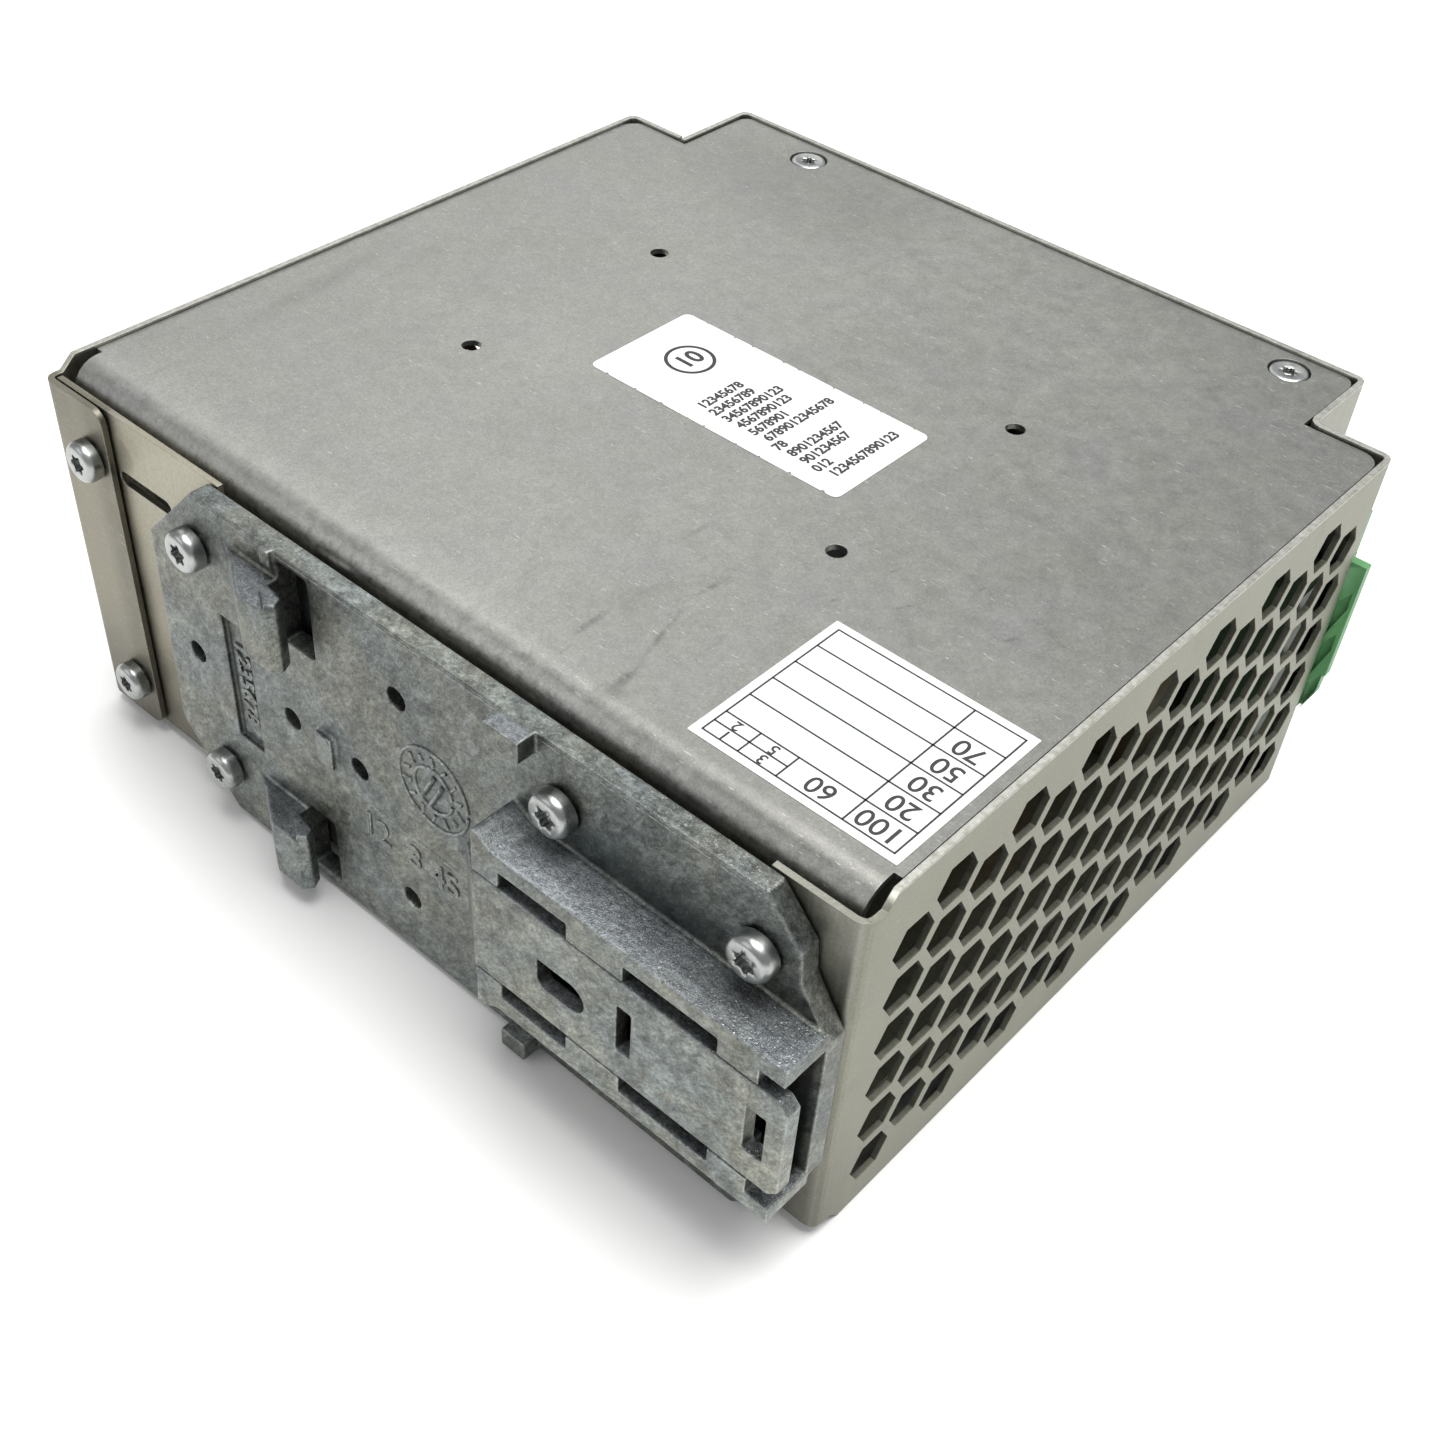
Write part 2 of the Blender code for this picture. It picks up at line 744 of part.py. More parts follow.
heel = box("heel", 121.0, 122.4, -7.6, -FACE - GAP, MID - 6.2, MID + 6.2)
fuse(foot, nose, *legs, seat, *wings, heel)
keep(foot, "rail_foot", "zinc")

coil = bpy.data.curves.new("foot_spring", "CURVE")
coil.dimensions = "3D"
coil.bevel_depth = SPRING_WIRE / 1000
coil.bevel_resolution = 1
coil.use_fill_caps = True
coil_line = coil.splines.new("POLY")
per_turn = 9
count = SPRING_TURNS * per_turn + 1
coil_line.points.add(count - 1)
coil_start, coil_end = 95.95, 117.7
for i, point in enumerate(coil_line.points):
    angle = math.tau * i / per_turn
    along = coil_start + (coil_end - coil_start) * i / (count - 1)
    point.co = (
        *place(along, -5.15 + 1.7 * math.cos(angle), MID + SPRING_COIL * math.sin(angle)),
        1,
    )
spring = bpy.data.objects.new("spring_wire", coil)
SCENE.collection.objects.link(spring)
keep(to_mesh(spring, "spring"), "foot_spring", "spring")

# ---------------------------------------------------------------- plug connectors


def plug(name, right, pitch, poles, screw_radius):
    """Pluggable terminal block in a stepped corner, with its clamp screws.

    right is True at the input end. The tongue goes into the header through the step wall.
    """

    def x(value):
        return value if right else LENGTH - value

    def block(label, x0, x1, y0, y1, z0, z1):
        return box(label, *sorted((x(x0), x(x1))), y0, y1, z0, z1)

    low, high = PLUG_Z
    middle = (low + high) / 2
    body = block("plug_body", 119.6, 126.0, 106.2, 119.6, low + 0.4, high - 0.4)
    line = [
        (119.6, low),
        (130.0, low),
        (131.2, low + 3.4),
        (131.3, 19.6),
        (131.7, 19.8),
        (131.7, high),
        (119.6, high),
    ]
    collar = slab("plug_collar", "y", 106.2, 107.6, [(x(a), b) for a, b in line])
    shoulder = block("plug_shoulder", 119.8, 129.0, 106.4, 109.0, low + 0.2, high - 0.2)
    tongue = block("plug_tongue", 121.4, 127.4, 97.0, 106.5, low + 2.4, high - 2.4)
    cuts, wells = [], []
    for i in range(poles):
        z = middle + (i - (poles - 1) / 2) * pitch
        cuts.append(block("entry", 120.9, 124.4, 113.0, 121.0, z - pitch * 0.27, z + pitch * 0.27))
        wells.append(rod("well", "x", x(125.2), 114.6, z, screw_radius + 0.3, 3.4, sides=14))
        cuts.append(block("socket", 123.4, 125.4, 95.0, 104.0, z - 0.8, z + 0.8))
    for i in range(3):
        z = low + 3.2 + i * 7.1
        relief = [(129.6, z - 4.2), (129.6, z + 1.4), (131.1, z + 3.6), (131.2, z + 1.0)]
        cuts.append(slab("relief", "y", 105.0, 107.0, [(x(a), b) for a, b in relief]))
    fuse(body, collar, shoulder, tongue)
    cut(body, together(name + "_cuts", cuts), together(name + "_wells", wells))
    keep(body, name, "green")
    for i in range(poles):
        z = middle + (i - (poles - 1) / 2) * pitch
        screw = rod("clamp", "x", x(124.95), 114.6, z, screw_radius, 1.9, sides=14)
        slot = block("slot", 125.3, 126.6, 114.25, 114.95, z - 3, z + 3)
        keep(cut(screw, slot), f"{name}_clamp_screw_{i + 1}", "screw")

    header = block("header", 117.9, 128.5, 94.6, 104.0, low + 0.2, high - 0.2)
    cavity = block("cavity", 121.0, 127.8, 96.4, 106.0, low + 2.0, high - 2.0)
    pins = [
        block(
            "pin",
            124.0,
            124.8,
            94.8,
            103.0,
            middle + (i - (poles - 1) / 2) * pitch - 0.4,
            middle + (i - (poles - 1) / 2) * pitch + 0.4,
        )
        for i in range(poles)
    ]
    cut(header, cavity)
    fuse(header, *pins)
    foot_block = block("header_foot", 117.9, 120.5, 94.6, 104.0, 10.9, low + 1)
    fuse(header, foot_block)
    keep(header, name.replace("plug", "header"), "header")


plug("input_plug", True, PLUG_PITCH, 3, 2.0)
plug("output_plug", False, OUT_PITCH, 4, 1.9)

# ---------------------------------------------------------------- front controls
keep(box("front_board", 15.0, 46.0, 108.0, 109.6, 10.9, 46.0), "signal_board", "board")
lamp = rod("lamp", "y", 26, (110.0 + DEPTH + FRONT_PROUD) / 2, 37, 2.4, DEPTH + FRONT_PROUD - 110.0, sides=16)
keep(lamp, "status_lamp", "lamp")
trimmer = box("trimmer", 21.2, 30.8, 109.9, 116.2, 13.2, 22.8)
keep(cut(trimmer, rod("trim_hole", "y", 26, 116.2, 18, 2.9, 5.0, sides=16)), "trimmer_housing", "blue")
rotor = rod("rotor", "y", 26, 117.1, 18, 2.6, 5.6, sides=16)
keep(
    cut(rotor, box("rotor_slot", 22, 30, 119.2, 121, 17.6, 18.4)), "trimmer_rotor", "white"
)

# ---------------------------------------------------------------- inside
BOARD = (8.9, 10.5)
TOP = BOARD[1] + GAP
STANDS = ((8, 8), (122, 8), (8, 98), (110, 98))
sheet_holes = [circle(x, y, 3.2, 10) for x, y in STANDS]
keep(
    slab(
        "liner", "z", 5.0, 5.4, [(3, 3.4), (127, 3.4), (127, 102), (3, 102)], sheet_holes
    ),
    "insulating_sheet",
    "film",
)
keep(box("board", 4.0, 126.0, 3.4, 103.4, *BOARD), "main_board", "board")
for number, (x, y) in enumerate(STANDS, 1):
    low = PANEL_DROP + SHEET + GAP
    keep(
        rod("stand", "z", x, y, (low + BOARD[0] - GAP) / 2, 2.8, BOARD[0] - GAP - low, sides=6),
        f"board_standoff_{number}",
        "aluminium",
    )


def heat_sink(name, x0, x1):
    """Upright aluminium plate with ribs on its inner side."""
    sink = box(name, x0, x1, 5.0, 8.0, TOP, 40.0)
    ribs = [
        box("rib", x0 + (x1 - x0) * (i + 0.5) / 5 - 0.8, x0 + (x1 - x0) * (i + 0.5) / 5 + 0.8, 7.8, 13.0, 25.0, 39.6)
        for i in range(5)
    ]
    return keep(fuse(sink, *ribs), name, "aluminium")


heat_sink("primary_heat_sink", 68.0, 122.0)
heat_sink("secondary_heat_sink", 8.0, 56.0)
keep(box("transistor", 82.0, 92.0, 8.3, 12.6, TOP + 1, 23.5), "power_transistor", "black")
keep(box("diode", 26.0, 36.0, 8.3, 12.6, TOP + 1, 23.5), "output_diode", "black")

core = box("core", 46.0, 84.0, 50.0, 72.0, TOP, 44.0)
core_window = box("core_window", 50.0, 80.0, 48.0, 74.0, 15.0, 39.8)
keep(cut(core, core_window), "transformer_core", "ferrite")
keep(
    bevel(box("winding", 50.4, 79.6, 42.0, 80.0, 15.4, 39.4), 3.0, 2),
    "transformer_winding",
    "tape",
)


def ring(name, x, y, z, major, minor, finish):
    """Wound ring core standing on the board, its axis along X."""
    bm = bmesh.new()
    bmesh.ops.create_circle(bm, segments=8, radius=minor / 1000)
    bmesh.ops.rotate(bm, verts=bm.verts, matrix=Matrix.Rotation(math.radians(90), 3, "X"))
    bmesh.ops.translate(bm, vec=(major / 1000, 0, 0), verts=bm.verts)
    mesh = bpy.data.meshes.new(name)
    bm.to_mesh(mesh)
    bm.free()
    obj = bpy.data.objects.new(name, mesh)
    CUTTERS.objects.link(obj)
    obj.matrix_world = Matrix.Translation(place(x, y, z)) @ Matrix.Rotation(
        math.radians(90), 4, "Y"
    )
    turn = obj.modifiers.new("turn", "SCREW")
    turn.angle = math.tau
    turn.steps = turn.render_steps = 18
    turn.use_merge_vertices = True
    turn.merge_threshold = 0.00001
    turn.use_normal_calculate = True
    return keep(obj, name, finish)


ring("input_choke", 108.0, 62.0, TOP + 13.6, 9.0, 4.4, "copper")
ring("output_choke", 22.0, 66.0, TOP + 13.6, 9.0, 4.4, "copper")

for number, (x, y) in enumerate(((74.0, 28.0), (98.0, 28.0)), 1):
    keep(
        bevel(rod("can", "z", x, y, TOP + 17.5, 10.8, 35.0, sides=20), 0.8),
        f"bulk_capacitor_{number}",
        "sleeve",
    )
for number, (x, y) in enumerate(((14.0, 24.0), (28.0, 24.0), (42.0, 24.0)), 1):
    keep(
        bevel(rod("can", "z", x, y, TOP + 12.5, 6.2, 25.0, sides=16), 0.6),
        f"output_capacitor_{number}",
        "sleeve",
    )
keep(box("film", 100.0, 118.0, 80.0, 88.0, TOP, 26.0), "film_capacitor", "tape")
keep(rod("fuse", "x", 94.0, 95.0, TOP + 3.4, 3.0, 22.0, sides=12), "input_fuse", "glass")
keep(box("bridge", 94.0, 97.5, 44.0, 60.0, TOP, 28.0), "bridge_rectifier", "black")
keep(box("relay", 60.0, 80.0, 86.0, 98.0, TOP, 26.0), "signal_relay", "white")

for piece in PARTS.objects:
    piece.data.shade_smooth()
    piece.data.set_sharp_from_angle(angle=math.radians(32))
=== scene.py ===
"""Looks of the DIN rail power supply.

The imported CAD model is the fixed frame. This script gives every surface its finish, and
builds the finer pieces that stand for some CAD nodes: cast zinc parts with soft edges,
screws with six-lobed recesses, sheet parts with smooth bends, and the two paper labels.
at() takes millimetres in the case's own frame, as part.py does.
"""

import json
import math
import random

import bmesh
import bpy
from mathutils import Matrix, Vector

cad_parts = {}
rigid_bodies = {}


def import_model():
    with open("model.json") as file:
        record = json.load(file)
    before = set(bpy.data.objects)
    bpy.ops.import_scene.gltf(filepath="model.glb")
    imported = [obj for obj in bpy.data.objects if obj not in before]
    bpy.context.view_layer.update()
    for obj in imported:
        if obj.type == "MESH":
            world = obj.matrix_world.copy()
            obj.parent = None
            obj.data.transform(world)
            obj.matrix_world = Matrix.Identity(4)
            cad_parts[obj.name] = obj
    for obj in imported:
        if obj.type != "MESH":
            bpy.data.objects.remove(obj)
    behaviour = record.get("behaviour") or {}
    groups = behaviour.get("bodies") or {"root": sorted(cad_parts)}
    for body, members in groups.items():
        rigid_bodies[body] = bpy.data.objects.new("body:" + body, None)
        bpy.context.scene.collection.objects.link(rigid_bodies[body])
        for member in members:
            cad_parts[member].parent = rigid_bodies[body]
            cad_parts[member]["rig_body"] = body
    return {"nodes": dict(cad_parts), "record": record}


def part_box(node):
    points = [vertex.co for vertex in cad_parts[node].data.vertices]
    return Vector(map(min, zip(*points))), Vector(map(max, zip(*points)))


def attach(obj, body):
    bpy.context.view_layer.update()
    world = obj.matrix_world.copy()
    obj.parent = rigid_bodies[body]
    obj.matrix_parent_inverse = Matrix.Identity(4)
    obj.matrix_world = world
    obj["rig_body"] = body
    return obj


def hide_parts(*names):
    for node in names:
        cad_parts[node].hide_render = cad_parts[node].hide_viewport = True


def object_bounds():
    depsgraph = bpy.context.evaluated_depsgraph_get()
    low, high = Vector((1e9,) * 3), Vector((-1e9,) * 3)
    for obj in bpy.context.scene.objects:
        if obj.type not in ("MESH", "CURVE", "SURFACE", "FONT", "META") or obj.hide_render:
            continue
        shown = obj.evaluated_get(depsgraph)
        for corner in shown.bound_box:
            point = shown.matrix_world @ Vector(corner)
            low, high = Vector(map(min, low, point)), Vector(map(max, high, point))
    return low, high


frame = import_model()
nodes = frame["nodes"]
cad_box = [list(corner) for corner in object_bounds()]
scene = bpy.context.scene
random.seed(7)

CENTRE_X, CENTRE_Y = 65.0, 55.8


def at(x, y, z):
    return Vector(((x - CENTRE_X) / 1000, (y - CENTRE_Y) / 1000, z / 1000))


def srgb(r, g, b):
    """0-255 display colour to the linear values that a shader takes."""
    return tuple(
        c / 12.92 if c <= 0.04045 else ((c + 0.055) / 1.055) ** 2.4
        for c in (r / 255, g / 255, b / 255)
    ) + (1.0,)


# ---------------------------------------------------------------- material builder
class Paint:
    """A node material whose textures are laid out in millimetres of the frame."""

    def __init__(self, name):
        self.material = bpy.data.materials.new(name)
        self.material.use_nodes = True
        self.tree = self.material.node_tree
        self.tree.nodes.clear()
        output = self.add("ShaderNodeOutputMaterial")
        self.shader = self.add("ShaderNodeBsdfPrincipled")
        self.link(self.shader.outputs[0], output.inputs[0])
        texco = self.add("ShaderNodeTexCoord")
        scale = self.add("ShaderNodeVectorMath", operation="SCALE")
        scale.inputs["Scale"].default_value = 1000.0
        self.link(texco.outputs["Object"], scale.inputs[0])
        self.mm = scale.outputs[0]
        self._axes = None
        self._geometry = None

    def add(self, kind, **settings):
        node = self.tree.nodes.new(kind)
        for key, value in settings.items():
            setattr(node, key, value)
        return node

    def link(self, a, b):
        self.tree.links.new(a, b)

    def put(self, socket, value):
        if isinstance(value, bpy.types.NodeSocket):
            self.link(value, socket)
        else:
            socket.default_value = value

    def axis(self, name):
        if self._axes is None:
            split = self.add("ShaderNodeSeparateXYZ")
            self.link(self.mm, split.inputs[0])
            self._axes = dict(zip("xyz", split.outputs))
        return self._axes[name]

    def normal(self, name):
        if self._geometry is None:
            geometry = self.add("ShaderNodeNewGeometry")
            transform = self.add(
                "ShaderNodeVectorTransform", vector_type="NORMAL",
                convert_from="WORLD", convert_to="OBJECT",
            )
            self.link(geometry.outputs["Normal"], transform.inputs[0])
            split = self.add("ShaderNodeSeparateXYZ")
            self.link(transform.outputs[0], split.inputs[0])
            self._geometry = dict(zip("xyz", split.outputs))
        return self._geometry[name]

    def stretched(self, stretch, turn=(0, 0, 0), shift=(0, 0, 0)):
        mapping = self.add("ShaderNodeMapping")
        self.link(self.mm, mapping.inputs["Vector"])
        mapping.inputs["Rotation"].default_value = tuple(math.radians(t) for t in turn)
        mapping.inputs["Scale"].default_value = stretch
        mapping.inputs["Location"].default_value = shift
        return mapping.outputs[0]

    def slanted(self, length, shift=(0, 0, 0)):
        """Coordinates whose features are drawn out along the diagonal of the xz plane."""
        mapping = self.add("ShaderNodeMapping", vector_type="TEXTURE")
        self.link(self.mm, mapping.inputs["Vector"])
        mapping.inputs["Rotation"].default_value = (0, math.radians(-45), 0)
        mapping.inputs["Scale"].default_value = (length, 1, 1)
        mapping.inputs["Location"].default_value = shift
        return mapping.outputs[0]

    def noise(self, size, detail=2.0, rough=0.5, distort=0.0, where=None):
        """Noise whose features are about size millimetres."""
        node = self.add("ShaderNodeTexNoise")
        self.link(where or self.mm, node.inputs["Vector"])
        node.inputs["Scale"].default_value = 1.0 / size
        node.inputs["Detail"].default_value = detail
        node.inputs["Roughness"].default_value = rough
        node.inputs["Distortion"].default_value = distort
        return node.outputs["Fac"]

    def cells(self, size, where=None, feature="F1", out="Distance"):
        node = self.add("ShaderNodeTexVoronoi", feature=feature)
        self.link(where or self.mm, node.inputs["Vector"])
        node.inputs["Scale"].default_value = 1.0 / size
        return node.outputs[out]

    def remap(self, value, a, b, low=0.0, high=1.0, smooth=False):
        node = self.add("ShaderNodeMapRange")
        if smooth:
            node.interpolation_type = "SMOOTHSTEP"
        self.put(node.inputs["Value"], value)
        node.inputs["From Min"].default_value = a
        node.inputs["From Max"].default_value = b
        node.inputs["To Min"].default_value = low
        node.inputs["To Max"].default_value = high
        return node.outputs[0]

    def calc(self, operation, a, b=0.0, clamp=False):
        node = self.add("ShaderNodeMath", operation=operation, use_clamp=clamp)
        self.put(node.inputs[0], a)
        self.put(node.inputs[1], b)
        return node.outputs[0]

    def mix(self, factor, a, b, mode="MIX"):
        node = self.add("ShaderNodeMix", data_type="RGBA", blend_type=mode)
        self.put(node.inputs[0], factor)
        self.put(node.inputs[6], a)
        self.put(node.inputs[7], b)
        return node.outputs[2]

    def modulate(self, colour, value, amount, low=0.3, high=0.7):
        """colour made darker and lighter by a share, as value goes from low to high."""
        return self.mix(1.0, colour, self.remap(value, low, high, 1.0 - amount, 1.0 + amount), "MULTIPLY")

    def patch(self, x, y, length, width, turn, soft=1.0, plane="xy"):
        """Soft elliptical area at case millimetres; its long side is turned from +X. On the xz plane y is the height."""
        shifted = self.add("ShaderNodeVectorMath", operation="SUBTRACT")
        self.link(self.mm, shifted.inputs[0])
        mapping = self.add("ShaderNodeMapping", vector_type="TEXTURE")
        self.link(shifted.outputs[0], mapping.inputs["Vector"])
        if plane == "xy":
            shifted.inputs[1].default_value = (x - CENTRE_X, y - CENTRE_Y, 0.0)
            mapping.inputs["Rotation"].default_value = (0, 0, math.radians(turn))
            mapping.inputs["Scale"].default_value = (length / 2, width / 2, 1e6)
        else:
            shifted.inputs[1].default_value = (x - CENTRE_X, 0.0, y)
            mapping.inputs["Rotation"].default_value = (0, -math.radians(turn), 0)
            mapping.inputs["Scale"].default_value = (length / 2, 1e6, width / 2)
        size = self.add("ShaderNodeVectorMath", operation="LENGTH")
        self.link(mapping.outputs[0], size.inputs[0])
        return self.remap(size.outputs["Value"], 1.0 - 0.9 * soft, 1.0, 1.0, 0.0, smooth=True)

    def curve(self, name, middle, span, *factors):
        """Polynomial of (coordinate - middle) / span, as a value."""
        t = self.calc("MULTIPLY", self.calc("SUBTRACT", self.axis(name), middle), 1.0 / span)
        total = factors[-1]
        for factor in reversed(factors[:-1]):
            total = self.calc("ADD", self.calc("MULTIPLY", total, t), factor)
        return total

    def window(self, name, low, high, soft):
        """1 between low and high along an axis of the frame, in millimetres, 0 outside."""
        up = self.remap(self.axis(name), low - soft, low + soft, smooth=True)
        down = self.remap(self.axis(name), high - soft, high + soft, 1.0, 0.0, smooth=True)
        return self.calc("MULTIPLY", up, down)

    def scratches(self, size, length, turn, low, high, shift=0.0, plane="xy"):
        """Thin lines: noise stretched along one direction of a plane."""
        stretch = {"xy": (1.0 / length, 1.0, 1.0), "xz": (1.0 / length, 1.0, 1.0), "yz": (1.0, 1.0 / length, 1.0)}[plane]
        axis = {"xy": (0, 0, turn), "xz": (0, turn, 0), "yz": (turn, 0, 0)}[plane]
        where = self.stretched(stretch, axis, (shift, shift * 1.7, shift * 0.6))
        return self.remap(self.noise(size, 2.0, 0.55, where=where), low, high)

    def edges(self, radius):
        """(mask of convex and concave edges, softened normal)."""
        bevel = self.add("ShaderNodeBevel", samples=4)
        bevel.inputs["Radius"].default_value = radius / 1000
        geometry = self.add("ShaderNodeNewGeometry")
        dot = self.add("ShaderNodeVectorMath", operation="DOT_PRODUCT")
        self.link(bevel.outputs[0], dot.inputs[0])
        self.link(geometry.outputs["True Normal"], dot.inputs[1])
        return self.remap(dot.outputs["Value"], 0.995, 0.80), bevel.outputs[0]

    def bump(self, height, distance, normal=None, strength=1.0):
        node = self.add("ShaderNodeBump")
        self.put(node.inputs["Height"], height)
        node.inputs["Strength"].default_value = strength
        node.inputs["Distance"].default_value = distance / 1000
        if normal is not None:
            self.link(normal, node.inputs["Normal"])
        return node.outputs[0]

    def finish(self, colour, roughness, metallic=0.0, normal=None, **fixed):
        self.put(self.shader.inputs["Base Color"], colour)
        self.put(self.shader.inputs["Roughness"], roughness)
        self.shader.inputs["Metallic"].default_value = metallic
        if normal is not None:
            self.link(normal, self.shader.inputs["Normal"])
        for name, value in fixed.items():
            self.shader.inputs[name.replace("_", " ")].default_value = value
        return self.material


# ---------------------------------------------------------------- materials
def bare_sheet():
    """Warm grey mill-finish sheet, faintly brushed along its length."""
    p = Paint("bare_sheet")
    clouds = p.noise(26.0, 4.0, 0.55)
    blotch = p.noise(6.5, 5.0, 0.6, 0.4)
    grain = p.noise(0.26, 3.0, 0.65)
    brush = p.noise(0.42, 4.0, 0.62, where=p.stretched((1.0, 1.0, 0.03)))
    colour = p.mix(p.remap(clouds, 0.35, 0.68), (0.262, 0.262, 0.225, 1), (0.290, 0.291, 0.254, 1))
    # Painted warm reflection on the left part of the back wall and on the cover's flange.
    warm = p.calc("MULTIPLY", p.remap(p.axis("x"), 10.0, -40.0, smooth=True), p.remap(p.axis("y"), -50.0, -54.0, smooth=True))
    warm = p.calc("MULTIPLY", warm, p.remap(p.noise(14.0, 4.0, 0.6, 0.6), 0.25, 0.6, 0.5, 1.0))
    colour = p.mix(warm, colour, (0.300, 0.280, 0.218, 1))
    colour = p.modulate(colour, blotch, 0.10)
    colour = p.modulate(colour, grain, 0.13)
    colour = p.modulate(colour, brush, 0.08)
    stain = p.remap(p.noise(5.0, 5.0, 0.65, 0.8, where=p.stretched((1, 1, 0.5), shift=(13, 2, 8))), 0.56, 0.74)
    colour = p.mix(p.calc("MULTIPLY", stain, 0.30), colour, (0.185, 0.168, 0.13, 1))
    # Painted shade on the wall along the edge of the cover's flange, and round patches of painted shade beside the
    # cover screws, standing for shallow dents.
    at_back = p.remap(p.axis("y"), -54.8, -55.4)
    seam = p.calc("MULTIPLY", p.window("x", 8.2 - CENTRE_X, 13.6 - CENTRE_X, 1.8), at_back)
    seam = p.calc("MULTIPLY", seam, p.remap(p.noise(3.0, 4.0, 0.6), 0.25, 0.55, 0.45, 1.0))
    for x, z in ((12.9, 47.6), (12.7, 6.4)):
        dent_shade = p.calc("MULTIPLY", p.patch(x, z, 6.4, 6.4, 0, 0.35, "xz"), at_back)
        seam = p.calc("MAXIMUM", seam, p.calc("MULTIPLY", dent_shade, 0.75))
    colour = p.mix(p.calc("MULTIPLY", seam, 0.42), colour, (0.120, 0.108, 0.083, 1))
    # Painted shade: the end wall is darker and a little yellower.
    end_wall_shade = p.remap(p.axis("x"), 64.2, 64.7)
    colour = p.mix(1.0, colour, p.remap(end_wall_shade, 0.0, 1.0, 1.0, 0.86), "MULTIPLY")
    colour = p.mix(end_wall_shade, colour, p.mix(1.0, colour, (1.0, 1.0, 0.925, 1), "MULTIPLY"))
    # The cover's flange is darker, with painted shade towards its top and bottom ends.
    flange = p.calc("MULTIPLY", p.remap(p.axis("x"), 12.1 - CENTRE_X, 11.7 - CENTRE_X), p.remap(p.axis("y"), -54.8, -55.4))
    colour = p.mix(1.0, colour, p.remap(flange, 0.0, 1.0, 1.0, 0.80), "MULTIPLY")
    ends = p.calc("MAXIMUM", p.remap(p.axis("z"), 40.0, 52.0, smooth=True), p.remap(p.axis("z"), 18.0, 4.0, smooth=True))
    colour = p.mix(p.calc("MULTIPLY", p.calc("MULTIPLY", flange, ends), 0.5), colour, (0.150, 0.142, 0.112, 1))
    # Painted light and shade on the back wall: lighter towards the top, darker towards the right.
    wall = p.calc("SUBTRACT", at_back, flange, clamp=True)
    wall_painted_light = p.remap(p.axis("z"), 28.0, 50.0, 0.93, 1.22)
    wall_painted_light = p.calc("MULTIPLY", wall_painted_light, p.remap(p.axis("x"), 35.0, 55.0, 1.0, 0.78))
    colour = p.mix(wall, colour, p.mix(1.0, colour, wall_painted_light, "MULTIPLY"))
    # Painted shade on the wall behind the adapter's two openings.
    pocket_shade = p.calc("MULTIPLY", p.window("x", 47.6 - CENTRE_X, 55.2 - CENTRE_X, 0.3), at_back)
    pocket_shade = p.calc("MULTIPLY", pocket_shade, p.calc("MAXIMUM", p.window("z", 38.6, 54.0, 0.3), p.window("z", 0.8, 14.4, 0.3)))
    colour = p.mix(p.calc("MULTIPLY", pocket_shade, 0.97), colour, (0.060, 0.068, 0.074, 1))
    # Painted shade inside the wall's slot.
    groove_shade = p.calc("MULTIPLY", p.window("x", 12.0 - CENTRE_X, 22.8 - CENTRE_X, 0.1), p.window("z", 42.9, 45.2, 0.1))
    groove_shade = p.calc("MULTIPLY", groove_shade, p.window("y", -55.74, -54.9, 0.03))
    colour = p.mix(p.calc("MULTIPLY", groove_shade, 0.9), colour, (0.150, 0.142, 0.106, 1))
    # Painted shade on the lower back wall behind the foot, darker towards the bottom.
    foot = p.calc("MULTIPLY", p.remap(p.axis("z"), 24.0, 3.0, smooth=True), p.remap(p.axis("y"), -50.0, -54.0))
    colour = p.mix(p.calc("MULTIPLY", foot, 0.55), colour, (0.135, 0.130, 0.105, 1))
    nicks = p.scratches(0.22, 14.0, 62.0, 0.66, 0.72, plane="xz")
    nicks = p.calc("MAXIMUM", nicks, p.scratches(0.25, 9.0, -35.0, 0.68, 0.74, 4.0, plane="yz"))
    colour = p.mix(p.calc("MULTIPLY", nicks, 0.30), colour, (0.50, 0.50, 0.465, 1))
    # Painted highlight along the top rim; the edges are lighter from wear and painted highlight.
    rim = p.remap(p.axis("z"), 54.55, 54.8, smooth=True)
    rim = p.calc("MULTIPLY", rim, p.remap(p.noise(0.8, 4.0, 0.7), 0.32, 0.62, 0.25, 1.0))
    edge, soft = p.edges(0.16)
    edge = p.calc("MULTIPLY", edge, p.remap(p.noise(1.3, 3.0), 0.30, 0.6, 0.35, 1.0))
    wear_and_highlight = p.calc("MAXIMUM", p.calc("MULTIPLY", edge, 0.55), p.calc("MULTIPLY", rim, 0.75))
    colour = p.mix(wear_and_highlight, colour, (0.56, 0.56, 0.53, 1))
    rough = p.calc("ADD", p.remap(blotch, 0.3, 0.7, 0.40, 0.50), p.remap(brush, 0.35, 0.7, -0.03, 0.06))
    height = p.calc("ADD", p.calc("MULTIPLY", grain, 0.7), p.calc("MULTIPLY", brush, 0.8))
    return p.finish(colour, rough, 1.0, p.bump(height, 0.012, soft))


